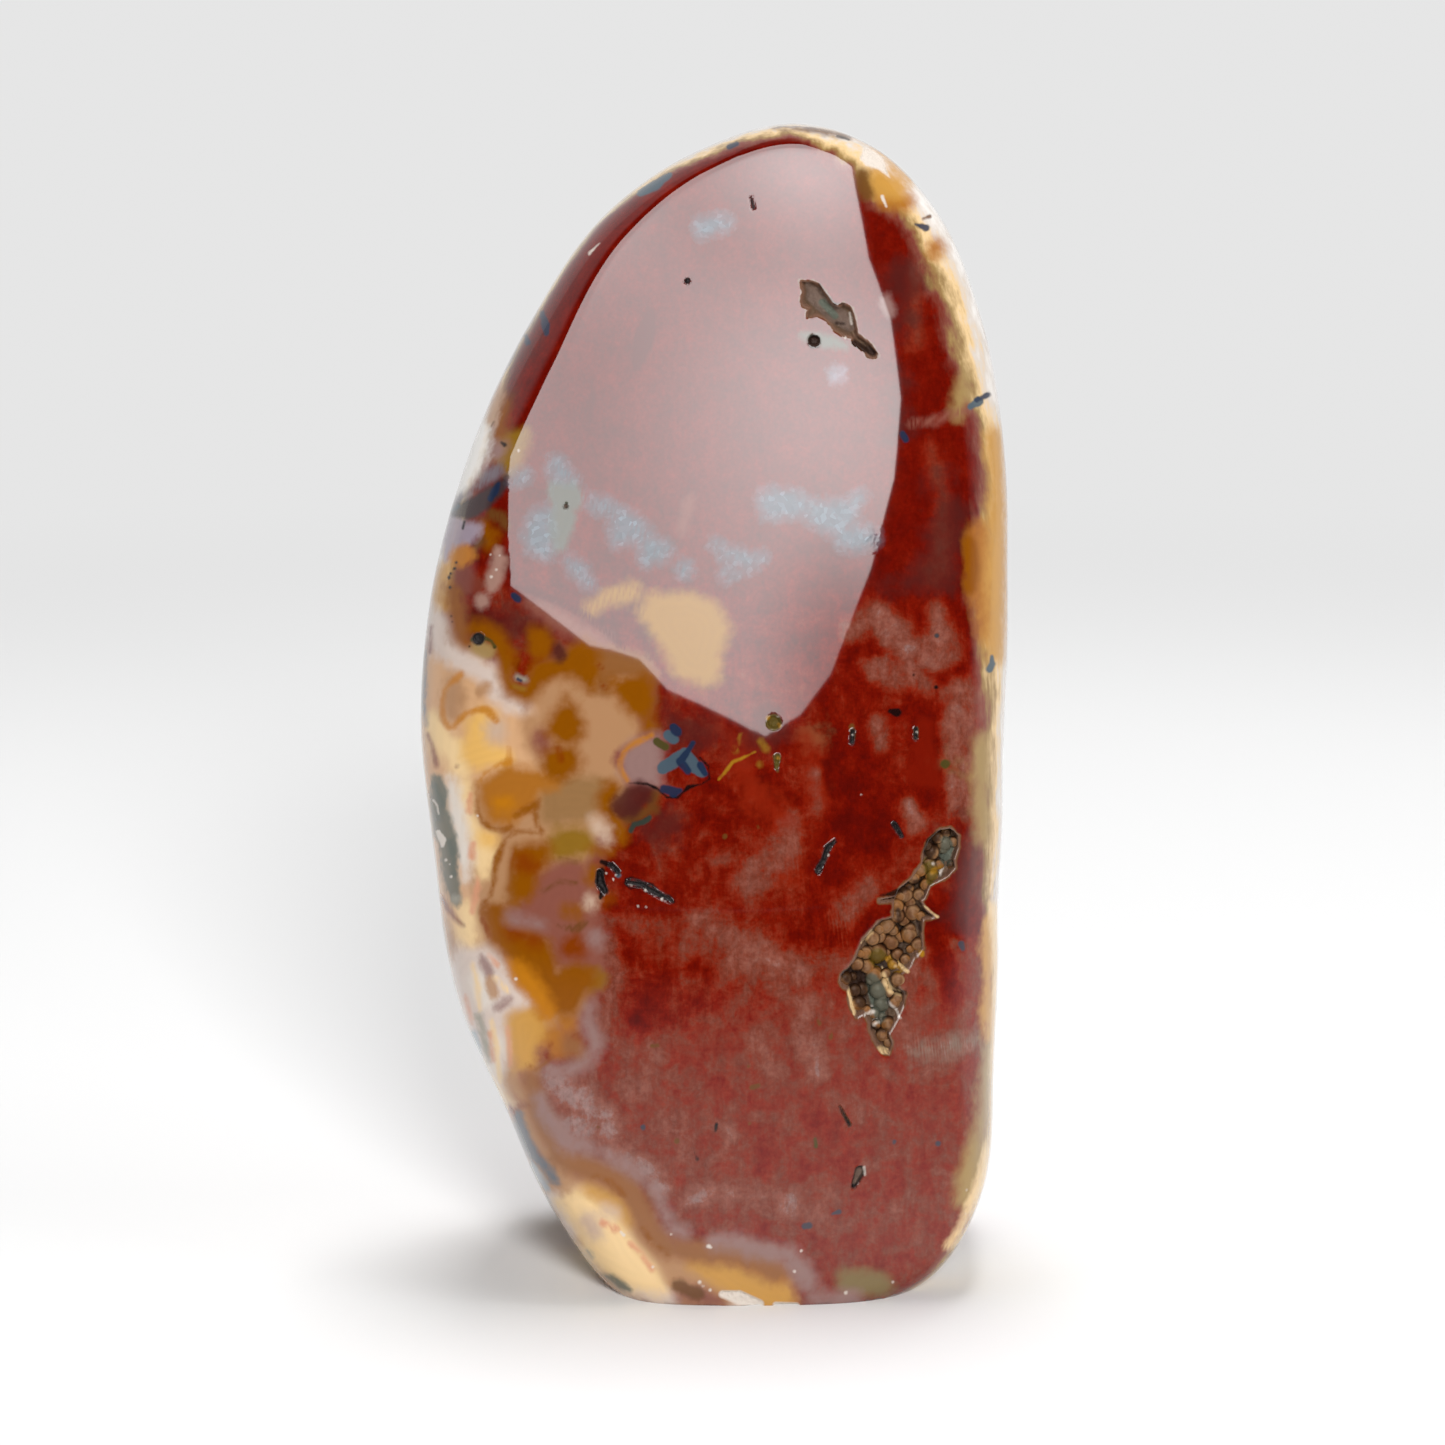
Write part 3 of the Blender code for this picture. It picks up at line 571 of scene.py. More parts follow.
# Bodies of chalcedony and orbs with soft edges
POOLS = {
    "brown": [
        [(18, 134.5, 0.6), (18.5, 132.5, 0.6)], [(-27.1, 93.2, 0.4), (-26, 93, 0.4), (-25.5, 92, 0.3)],
        [(-29.2, 89.3, 0.3), (-28.3, 90, 0.3)],
        [(-7.3, 59, 0.5), (-7.8, 57.6, 0.5), (-9, 56.4, 0.4), (-10.5, 56.2, 0.3)],
    ],
    "ochre": [
        [(31.4, 89.5, 0.5), (31.5, 87, 0.6), (31.4, 84.4, 0.4)],
    ],
    "honey": [
        [(13, 141, 0.5), (17, 140, 0.6), (21, 137.7, 0.8), (24, 134.5, 0.8)],
        [(33.4, 43.5, 0.6), (33.5, 39, 0.7), (33.5, 34, 0.7), (33.5, 29.5, 0.5)],
    ],
    "cream": [
        [(34.4, 45, 0.4), (34.7, 38, 0.5), (34.6, 31, 0.4), (34.5, 24, 0.3), (34.1, 18, 0.25),
         (32.9, 12.5, 0.25), (31.4, 9, 0.3), (30, 6, 0.3), (28.6, 4, 0.2)],
    ],
    "dusk": [
        [(21, 119.2, 0.6), (21.6, 118, 0.5)],
        [(-28.5, 39.3, 0.2), (-28.1, 38.2, 0.3), (-27.5, 37.4, 0.15)],
        [(-26.4, 33, 0.25), (-25.1, 34, 0.25)],
    ],
    "bright red": [
        [(25.5, 67, 0.8), (25.5, 64.5, 1.1), (26.5, 61, 1.2), (24.5, 61.5, 1.1)],
    ],
    "grey green": [
        [(-20, 96.8), (-17.2, 97), (-15.8, 95.4), (-17.2, 93.5), (-17.9, 91), (-18.4, 88.9),
         (-19.4, 88.7), (-20, 91), (-20.2, 95)],
        [(11, 115.2, 0.3), (13.6, 114.4, 0.5), (16, 113.8, 0.3)],
    ],
    "lilac": [
        [(-32.3, 93), (-31, 92.8), (-30.4, 92), (-29.3, 92), (-28.6, 91.6), (-28.8, 90.7),
         (-29.6, 89.8), (-31, 89.6), (-32.2, 89), (-32.8, 88), (-33, 90), (-32.7, 92)],
    ],
    "smoke": [
        [(-31.9, 94.4, 0.3), (-30.3, 95.6, 0.4), (-28.6, 96.9, 0.5), (-27.3, 98, 0.7),
         (-26.3, 98.6, 0.6)],
    ],
    "rust": [
        [(-3, 95, 0.4), (-4, 91, 0.5)], [(-30.5, 85.8, 0.9), (-29.6, 84.6, 0.8)],
    ],
    "maroon": [
        [(-19.1, 76.6, 0.6), (-18.7, 76, 0.5)],
        [(-12.6, 57.6), (-11.7, 58.8), (-10.6, 59.8), (-9, 60.4), (-7.6, 59.6), (-7.8, 58.2),
         (-9, 57.4), (-9.6, 56.6), (-10.7, 56.5), (-11.8, 56.6)],
    ],
    "mauve": [
        [(-26.64, 89.07), (-26.14, 88.97), (-25.78, 87.93), (-26, 86.98), (-26.36, 85.56),
         (-26.72, 84.13), (-27.44, 83.94), (-27.58, 85.36), (-27.08, 86.5), (-26.79, 87.93)],
        [(-28.3, 82.6, 0.5)],
    ],
    "gold amber": [
        [(-31.9, 88), (-31.2, 89), (-30.3, 89.3), (-29.6, 89), (-29.5, 88.3), (-29.9, 87.6),
         (-30.8, 87.3), (-31.7, 87.3)],
    ],
    "tan": [
        [(-26, 109.2, 0.3), (-26.9, 107, 0.5), (-27.4, 104.8, 0.4)],
        [(-22, 54.2, 0.15), (-24.5, 53.8, 0.3), (-25.3, 52.5, 0.35), (-25.9, 50.5, 0.4),
         (-26, 48.5, 0.35), (-26.8, 46.8, 0.25)], [(-27.2, 36, 0.25), (-26.9, 34.6, 0.25)],
        [(-28.7, 71.5, 0.4), (-27.7, 72.3, 0.4)],
    ],
    "khaki": [
        [(-28.8, 76.9, 0.7), (-27.6, 76.2, 0.6)], [(-28.2, 23.8, 0.2), (-26, 20.9, 0.3)],
    ],
    "dust": [
        [(24, 104.3, 0.2), (26, 104.5, 0.25), (28.5, 105.3, 0.3), (31, 106, 0.2)],
    ],
}
# Bands with a clear edge
BANDS = {
    "brown": [
        [(-4.5, -0.8, 0.8), (-2, -2, 0.7)], [(7, 140.5, 0.3), (12, 140.3, 0.35), (16.5, 139.3, 0.35)],
    ],
    "green": [
        [(-11, -3.8, 0.4), (-4, -4.6, 0.4), (4, -4.7, 0.4), (10, -4.6, 0.4)],
        [(-34, 60, 0.3), (-33.5, 58, 0.4), (-33.7, 56, 0.4)],
        [(-32.3, 53.3, 0.3), (-31.9, 51.5, 0.4), (-31.8, 49.3, 0.35)],
    ],
    "grey green": [
        [(-34.7, 61.5), (-33.3, 61.3), (-32.6, 59.5), (-32.6, 57.3), (-32.2, 55.5), (-31.6, 53.8),
         (-31.3, 51.5), (-31.1, 49), (-30.9, 47.3), (-30.9, 45.9), (-31.3, 45.3), (-32, 46),
         (-32.7, 47.3), (-33.1, 49), (-33.3, 51.5), (-33.7, 53), (-34.3, 54.5), (-34.6, 56.5)],
        [(-13.4, 0.3, 0.25), (-12.4, 0, 0.4), (-11.3, -0.8, 0.5), (-10.4, -1.5, 0.3)],
    ],
    "pewter": [
        [(-24.6, 19.9), (-24.1, 20.6), (-23.5, 20.4), (-23.3, 19.2), (-22.6, 17.4), (-21.5, 15.6),
         (-20.3, 14), (-19.3, 12.5), (-18.9, 11.2), (-20, 11.6), (-20.8, 12.8), (-22, 14),
         (-23.2, 15.3), (-24.2, 17.5)], [(-35.3, 76.5, 0.1), (-35.5, 72, 0.2), (-35.3, 67.5, 0.12)],
    ],
    "frost": [
        [(-26, 20.3, 0.3), (-25.2, 18.7, 0.35), (-24.5, 17, 0.3), (-23.3, 14.8, 0.3)],
        [(-22.3, 13.6, 0.35), (-21.3, 12.2, 0.45), (-20.4, 11, 0.3)],
        [(-21, 9.8, 0.35), (-20.2, 8.1, 0.4), (-19.2, 6.3, 0.4)],
        [(-29.3, 29.8, 0.4), (-28.9, 28, 0.4), (-28.6, 26.8, 0.2)],
    ],
    "stone grey": [
        [(-31.4, 46.3, 0.5)],
        [(-28.8, 32, 0.5), (-28.3, 30.2, 0.35), (-27.7, 28, 0.4), (-27.5, 26.5, 0.3)],
        [(-15.5, 3.3, 0.25), (-15, 2.5, 0.25)],
        [(-19, 5.8, 0.3), (-17.8, 3.6, 0.35), (-16.4, 1.6, 0.3)], [(-28.6, 98.1, 0.4)],
        [(-24.1, 73.3, 0.4), (-23.2, 73, 0.4)],
    ],
    "soot": [
        [(-32.6, 93.4), (-31.3, 94.6), (-29.8, 95.4), (-28.4, 96.2), (-26.9, 97), (-25.4, 97.9),
         (-24.8, 97.2), (-25.6, 96), (-26.6, 94.9), (-27.8, 93.9), (-29.3, 92.9), (-30.4, 92.6),
         (-31.6, 92.9)],
    ],
    "coral": [
        [(-28.9, 49.2, 0.1), (-28.9, 47.8, 0.3), (-29.3, 46, 0.35), (-29.6, 44.6, 0.15)],
        [(-29.5, 53, 0.2), (-29.6, 51.3, 0.25)], [(-29.8, 59, 0.25), (-29.9, 57, 0.25)],
        [(-13.6, 6.7, 0.3), (-12, 6, 0.4)], [(-10.3, 4.2, 0.25), (-9, 3, 0.25), (-7.6, 1, 0.25)],
    ],
    "ochre": [
        [(-28.9, 60, 0.15), (-28.9, 58.3, 0.15), (-28.7, 56.8, 0.2), (-28.3, 55.6, 0.25),
         (-27.3, 54.9, 0.3), (-25.8, 54.6, 0.25), (-24.8, 55, 0.15)],
        [(-24.3, 56.5, 0.1), (-23.5, 56.9, 0.2), (-22.5, 57.4, 0.2), (-21.5, 57.9, 0.25),
         (-21.3, 58.4, 0.1)],
        [(-21.7, 57.6, 0.2), (-21.8, 56.3, 0.18), (-21.5, 55.2, 0.25), (-21.1, 54.5, 0.25)],
        [(-21.3, 54.3, 0.2), (-22.8, 54.5, 0.2), (-24.3, 54.3, 0.15), (-25.4, 53.6, 0.2),
         (-26.1, 52.2, 0.25), (-26.6, 50.8, 0.3), (-26.9, 49.5, 0.25), (-26.9, 48.3, 0.25),
         (-27.2, 47, 0.2), (-27.9, 46, 0.25), (-28.4, 44.8, 0.25), (-28.2, 43.6, 0.2),
         (-27.8, 42.6, 0.25), (-27.6, 41.8, 0.15)],
        [(-14.5, 12.4, 0.25), (-12.5, 11.6, 0.35), (-11, 10, 0.25)],
        [(-8.6, 6, 0.25), (-7.6, 4.4, 0.3), (-5.5, 3, 0.2)],
        [(-22.8, 26, 0.2), (-21.4, 25.5, 0.25), (-20, 27, 0.2)],
    ],
}
# Thin agate lines round the pale bodies
THREADS = {
    "gold amber": [
        [(-31, 73.7, 0.2), (-31.4, 73.2, 0.3), (-32.4, 72.5, 0.18), (-33.1, 71.5, 0.18),
         (-33.2, 69.5, 0.2), (-33, 68, 0.22), (-32.4, 67.2, 0.25), (-31.7, 67.3, 0.22),
         (-31.2, 68, 0.2), (-30.4, 68.8, 0.2), (-29, 69.4, 0.2), (-27.8, 69.4, 0.25),
         (-27.1, 68.7, 0.35), (-26.6, 68, 0.25)],
        [(-25.1, 64.8, 0.1), (-25, 62.9, 0.15), (-26.2, 62.7, 0.15), (-28, 61.6, 0.12),
         (-28.7, 60.5, 0.1)],
        [(-7.7, 66.2, 0.2), (-9, 65.6, 0.22), (-10.2, 65, 0.22), (-11.2, 64, 0.22), (-11.6, 63, 0.22),
         (-11.3, 61.8, 0.18), (-10.6, 60.7, 0.12)],
    ],
    "flame": [
        [(-14.1, 74.9, 0.15), (-13.7, 74.5, 0.25)], [(-13.8, 72.5, 0.15), (-13.4, 72.1, 0.25)],
        [(-19, 64.5, 0.3), (-18.7, 63.3, 0.3)], [(-28.3, 43.8, 0.1), (-27.5, 41.7, 0.15)],
        [(-20, 28.5, 0.3)],
    ],
    "rust": [
        [(-33.3, 46.5, 0.1), (-32.5, 45, 0.18), (-31.5, 43.8, 0.15), (-30.6, 43, 0.1)],
        [(-35, 66.3, 0.1), (-34.3, 64.5, 0.15), (-33.9, 62.5, 0.15)], [(-31.4, 62.4, 0.15)],
        [(-34.6, 79.5, 0.1), (-34.7, 76.5, 0.12)],
    ],
    "mustard": [
        [(-24.4, 72.2, 0.25), (-23.3, 71.9, 0.25)], [(3.2, 66, 0.4)], [(5.6, 62.6, 0.3)],
        [(6.3, 64.6, 0.35), (5.6, 65.6, 0.2)], [(2.6, 64.4, 0.3)],
    ],
    "cream": [
        [(-29.5, 38.5, 0.15), (-28.8, 35, 0.25), (-28.7, 32.6, 0.15)],
        [(-27.3, 31.5, 0.15), (-26.6, 28, 0.3), (-26.2, 24, 0.2)],
        [(-26.6, 36.6, 0.15), (-25.2, 35, 0.25)],
    ],
    "coral": [
        [(-30.4, 34.4, 0.12), (-29.6, 31.2, 0.15)], [(-27.4, 30, 0.12), (-27, 26.5, 0.2)],
        [(-25.2, 30.5, 0.12), (-24.9, 26, 0.15)], [(-27.6, 39.5, 0.12), (-26.4, 38.2, 0.18)],
    ],
    "brown": [
        [(-21, 47.2, 0.2), (-19, 48.4, 0.3), (-17, 48.2, 0.2)],
        [(-19, 43, 0.2), (-17, 42.6, 0.3), (-15.6, 43.4, 0.2)], [(-18.8, 51.2, 0.15), (-17, 50.8, 0.2)],
    ],
}
# Sharply bounded marks: dark inclusions, cracks, specks and painted glints
LINES = {
    "black": [
        [(-10.4, 60.4, 0.1), (-8.2, 60.3, 0.15), (-6.9, 59.7, 0.15), (-5.8, 58.7, 0.15),
         (-4.4, 58.7, 0.12), (-3.2, 59.9, 0.12)],
        [(-3.2, 59.9, 0.12), (-1.5, 60.3, 0.12), (-0.6, 60.9, 0.12), (-0.7, 62.4, 0.12),
         (-1.7, 63.5, 0.1)], [(15, 139.4, 0.15), (16.4, 138.9, 0.15)],
        [(-13.8, 50.8, 0.3), (-12.6, 50.4, 0.4), (-11.7, 49.7, 0.4)],
        [(-13.8, 49.6, 0.5), (-14.1, 48.4, 0.55), (-13.6, 47.4, 0.5), (-13.9, 46.4, 0.2)],
        [(-10.8, 48.6, 0.15), (-10, 48.9, 0.15), (-8.9, 48.3, 0.25), (-7.6, 48, 0.2),
         (-6.8, 46.9, 0.25)],
        [(-10.8, 48.2, 0.15), (-10.2, 47.5, 0.12), (-8.9, 47.9, 0.2), (-7.9, 47, 0.2),
         (-6.8, 46.8, 0.3), (-5.6, 46.6, 0.2), (-5, 45.9, 0.2)],
        [(14.9, 53.2, 0.15), (13.9, 52.7, 0.45), (13.5, 51.3, 0.3), (12.9, 50.2, 0.4),
         (12.7, 49.6, 0.45)], [(21.9, 55.5, 0.35), (22.5, 54.6, 0.3), (22.9, 53.9, 0.15)],
        [(21.5, 69.2, 0.2), (22.3, 69, 0.5)], [(27.1, 72.1, 0.25)], [(24.3, 73.6, 0.15)],
        [(0.3, 18.8, 0.14), (0.1, 17.9, 0.18)],
        [(-2.6, 15.7, 0.12), (-2.4, 15.1, 0.18), (-2.1, 14.5, 0.3)], [(16.3, 20.4, 0.1)],
        [(-26, 102, 0.15), (-25.6, 101.7, 0.25)], [(-30.7, 91.5, 0.15), (-30.5, 92.3, 0.15)],
        [(-31.5, 87.3, 0.14)], [(-31.7, 86.6, 0.1)], [(-32.2, 86, 0.1)], [(-32.4, 85.5, 0.12)],
        [(-32.3, 84.3, 0.14)], [(-32.1, 80.8, 0.12)], [(-32, 80.1, 0.1)], [(-29.9, 77.1, 0.1)],
        [(-28.6, 77.5, 0.1)], [(-26.8, 77, 0.12)],
    ],
    "brown": [
        [(25.5, 129.3, 0.15), (26.3, 129.6, 0.2)], [(16.8, 67.3, 0.3), (17, 65.9, 0.2)],
        [(24.6, 67, 0.25), (24.6, 65.9, 0.2)], [(7.4, 63.6, 0.3), (7.7, 61.9, 0.2)],
        [(15.4, 20.9, 0.1), (16, 19.7, 0.2), (16.6, 18.7, 0.2)], [(-4.6, 16.7, 0.35)],
        [(4.3, 18.8, 0.25)], [(4.6, 23.2, 0.25), (5.4, 23.5, 0.2)], [(4.2, 25.8, 0.2)],
        [(12.6, 31.5, 0.15), (12.9, 31, 0.3)], [(14.4, 30, 0.15), (14.2, 29.4, 0.35)],
        [(-7.6, 28.3, 0.2), (-6.9, 28.4, 0.25)], [(5.4, 55, 0.25)], [(1.3, 53.9, 0.3)],
        [(-14.2, 18.4, 0.2)], [(12.3, 16.9, 0.2), (12.4, 16.2, 0.25)],
        [(-27.2, 104, 0.08), (-26.9, 104.5, 0.1)],
    ],
    "steel": [
        [(-9, 132.4, 0.4), (-7, 133.5, 0.6), (-5.5, 134.6, 0.4)],
        [(31.2, 106.3, 0.4), (32.3, 107, 0.5)], [(33.6, 74.3, 0.4), (34, 75, 0.4), (33.9, 75.8, 0.2)],
        [(-5.6, 66.3, 0.6), (-4.9, 65.7, 0.5)],
        [(-6.3, 62.2, 0.7), (-5, 63, 0.8), (-3.6, 64, 0.7), (-2.6, 62.5, 0.8), (-1.5, 61.7, 0.6)],
        [(-11.7, 49.1, 0.35)], [(-32.2, 93.6, 0.12), (-31.2, 94.2, 0.2)],
    ],
    "navy": [
        [(-21, 117.8, 0.3), (-20.6, 116.2, 0.6), (-20.5, 115.3, 0.3)],
        [(-23, 115, 0.3), (-22.8, 114.2, 0.4)], [(1.8, 138.1, 0.4), (2.8, 138.5, 0.3)],
        [(24.6, 128.6, 0.2), (25.8, 128.2, 0.4)], [(32, 107.2, 0.25), (33.4, 107.8, 0.3)],
        [(-5, 67.2, 0.4), (-4.5, 66.7, 0.5)],
        [(-2.6, 65.3, 0.25), (-3.3, 64.2, 0.3), (-4.2, 63, 0.5), (-3.2, 61.9, 0.4)],
        [(-1.7, 62.6, 0.4), (-1.1, 61.6, 0.35)],
        [(-6.2, 59.7, 0.5), (-5, 59.3, 0.6), (-4.2, 59.5, 0.3)],
        [(-24.5, 83.3, 0.35), (-23.9, 82.8, 0.45)], [(-24, 73.1, 0.25), (-23.6, 72.9, 0.25)],
        [(23, 103, 0.4), (23.4, 102.3, 0.45)], [(-4.8, 66.9, 0.5)],
        [(-27.3, 95.2, 0.4), (-26.8, 96, 0.5), (-26.3, 96.9, 0.25)],
    ],
    "olive": [
        [(-7, 65.5, 0.5), (-6, 64.8, 0.4)], [(24.6, 67, 0.2), (24.6, 66, 0.2)], [(27.2, 78.4, 0.3)],
        [(28.2, 62.7, 0.6)], [(12.3, 16.9, 0.2), (12.4, 16.1, 0.25)],
        [(-29.6, 77.9, 0.25), (-28.8, 78.3, 0.3), (-28, 78.1, 0.2), (-27.2, 77.7, 0.15),
         (-26.8, 77.1, 0.15)],
    ],
    "green": [
        [(-10.2, 54.6, 0.3), (-9.8, 55.3, 0.3), (-8.8, 55.6, 0.35), (-7.9, 56.2, 0.3)],
    ],
    "slate": [
        [(27.3, 16.4, 0.4)], [(22, 16.6, 0.25)], [(30.1, 40.8, 0.35), (30.3, 40.2, 0.25)],
        [(14.4, 7.8, 0.15), (15.2, 8.1, 0.35)], [(11, 6.3, 0.3), (11.6, 6.4, 0.35)],
        [(-8.7, 18.4, 0.35)], [(27.2, 78.4, 0.3)],
    ],
    # White marks: the white cloud in the green patch is the stone's own, the small specks are painted
    # glints
    "white": [
        [(-33.7, 54.4, 0.3), (-33.2, 53.5, 0.45), (-33.2, 52.7, 0.15)],
        [(-34.3, 58.3, 0.1), (-33.8, 57.6, 0.16), (-33.6, 56.6, 0.1)], [(-32.7, 51, 0.12)],
        [(-32.3, 50.5, 0.1)], [(-32.1, 49, 0.14)], [(-26.6, 86.5, 0.12)], [(-27.2, 85.6, 0.12)],
        [(-26.2, 88.2, 0.1)], [(-27.3, 88.3, 0.08)], [(-28.9, 56.4, 0.12)], [(-24.2, 36.5, 0.15)],
        [(-11.4, 5.6, 0.1), (-11, 5.2, 0.2)], [(-7.5, 1.3, 0.16)], [(-5.3, 5.3, 0.1)],
        [(-0.7, 3.9, 0.18), (-0.4, 3.7, 0.1)], [(-1.8, -0.5, 0.2)], [(-1.3, -1, 0.12)],
        [(-0.5, -1.5, 0.15)], [(10.6, 3.3, 0.14)], [(9.8, 0.8, 0.12)], [(16, -1.8, 0.14)],
        [(21.8, -0.5, 0.12)], [(30.8, 10.7, 0.12)], [(30.7, 7.8, 0.1)], [(-9.3, 45.4, 0.12)],
        [(-8.3, 45.3, 0.12)], [(-10.1, 48, 0.16)], [(-12, 49.2, 0.12)], [(-23.9, 101, 0.12)],
        [(-15.3, 125, 0.08), (-14, 126.3, 0.1)], [(20.5, 132, 0.1), (21, 130.8, 0.12)],
    ],
    "honey glow": [
        [(0.5, 60.8, 0.1), (1.5, 62, 0.18), (2.3, 63, 0.16), (3.5, 63.5, 0.14), (5, 64.2, 0.08)],
    ],
}
# Places with a druse of fine crystals, which scatter the light
DRUSE = [
    [(-24.8, 97), (-24, 98.3), (-23, 98.5), (-22.8, 97.6), (-23.8, 97)],
    [(-20, 99.8), (-18.8, 100), (-18, 99), (-16.8, 97.5), (-17.5, 97.2), (-19.3, 97.5), (-20, 98.2)],
    [(-20.2, 94.2), (-21.8, 93.5), (-22.8, 92), (-23.2, 90.5), (-22.5, 88.8), (-21, 88), (-20, 88),
     (-20, 91)],
    [(-15.5, 95.3), (-13.5, 95), (-11.5, 94), (-10, 93), (-8.8, 92.3), (-8, 91), (-7, 89.8),
     (-5.8, 89.5), (-5.3, 88.5), (-6, 87.8), (-7.5, 87.5), (-8.8, 87), (-9, 88.5), (-8.5, 90),
     (-10, 90.3), (-12.3, 89.3), (-12.7, 90.5), (-12, 92.5), (-12.3, 93.2), (-14, 93.3), (-15.2, 94.3)],
    [(-17.7, 87.5, 0.4), (-16.5, 86.3, 0.7), (-15, 84.5, 0.3)], [(-3.6, 86.5, 0.8)],
    [(0, 89.7, 0.3), (1.5, 88.5, 0.5), (2.8, 88, 0.8), (4.3, 87.3, 0.8), (6, 88, 0.3)],
    [(1.3, 85.7, 0.4)], [(2.5, 85.9, 0.3)],
    [(5.7, 94), (5.5, 95.5), (6.5, 96.3), (8, 96), (10, 95.8), (12.5, 94.5), (15, 94.6), (16.5, 94.9),
     (17.8, 95.8), (18.3, 95.5), (17.5, 94.3), (17, 92.8), (16.3, 91.5), (17.5, 91.7), (19, 91.5),
     (20, 90.5), (19.5, 89.5), (17.5, 88.9), (16, 89), (15, 89.8), (14.5, 91), (13, 91.5), (11.8, 92.2),
     (11, 93.2), (9.5, 93), (7, 92.8), (5.9, 93)], [(14.8, 110.5, 0.4)],
    [(-1.2, 128.2, 1), (1.2, 128.8, 0.8)],
]
# Scars, where the clear red comes up through the veil
SCARS = [
    [(-9.6, 111.2, 0.5), (-8.6, 114.5, 1.3), (-7.7, 117.8, 0.6)],
    [(-14.7, 109, 0.1), (-15, 107, 0.35), (-15.2, 104.1, 0.15)],
    [(-17.3, 106.3, 0.25), (-16, 105.9, 0.2), (-15.2, 105.1, 0.25)],
    [(-14.8, 119.3, 0.22), (-14.2, 119.8, 0.22), (-13.6, 119.3, 0.22), (-13.7, 118.5, 0.22)],
    [(3.5, 120.4, 0.08), (3.6, 117.8, 0.08), (3, 116.5, 0.15), (4.6, 115.4, 0.15), (6, 116, 0.15)],
    [(9.7, 131.7, 0.08), (10.8, 131.2, 0.1)],
    [(-24.2, 84.4, 0.15), (-21, 83.4, 0.4), (-18.5, 82.4, 0.4), (-16, 81, 0.4), (-13.8, 79.5, 0.35),
     (-12.3, 78.1, 0.3), (-11, 77, 0.15)],
]
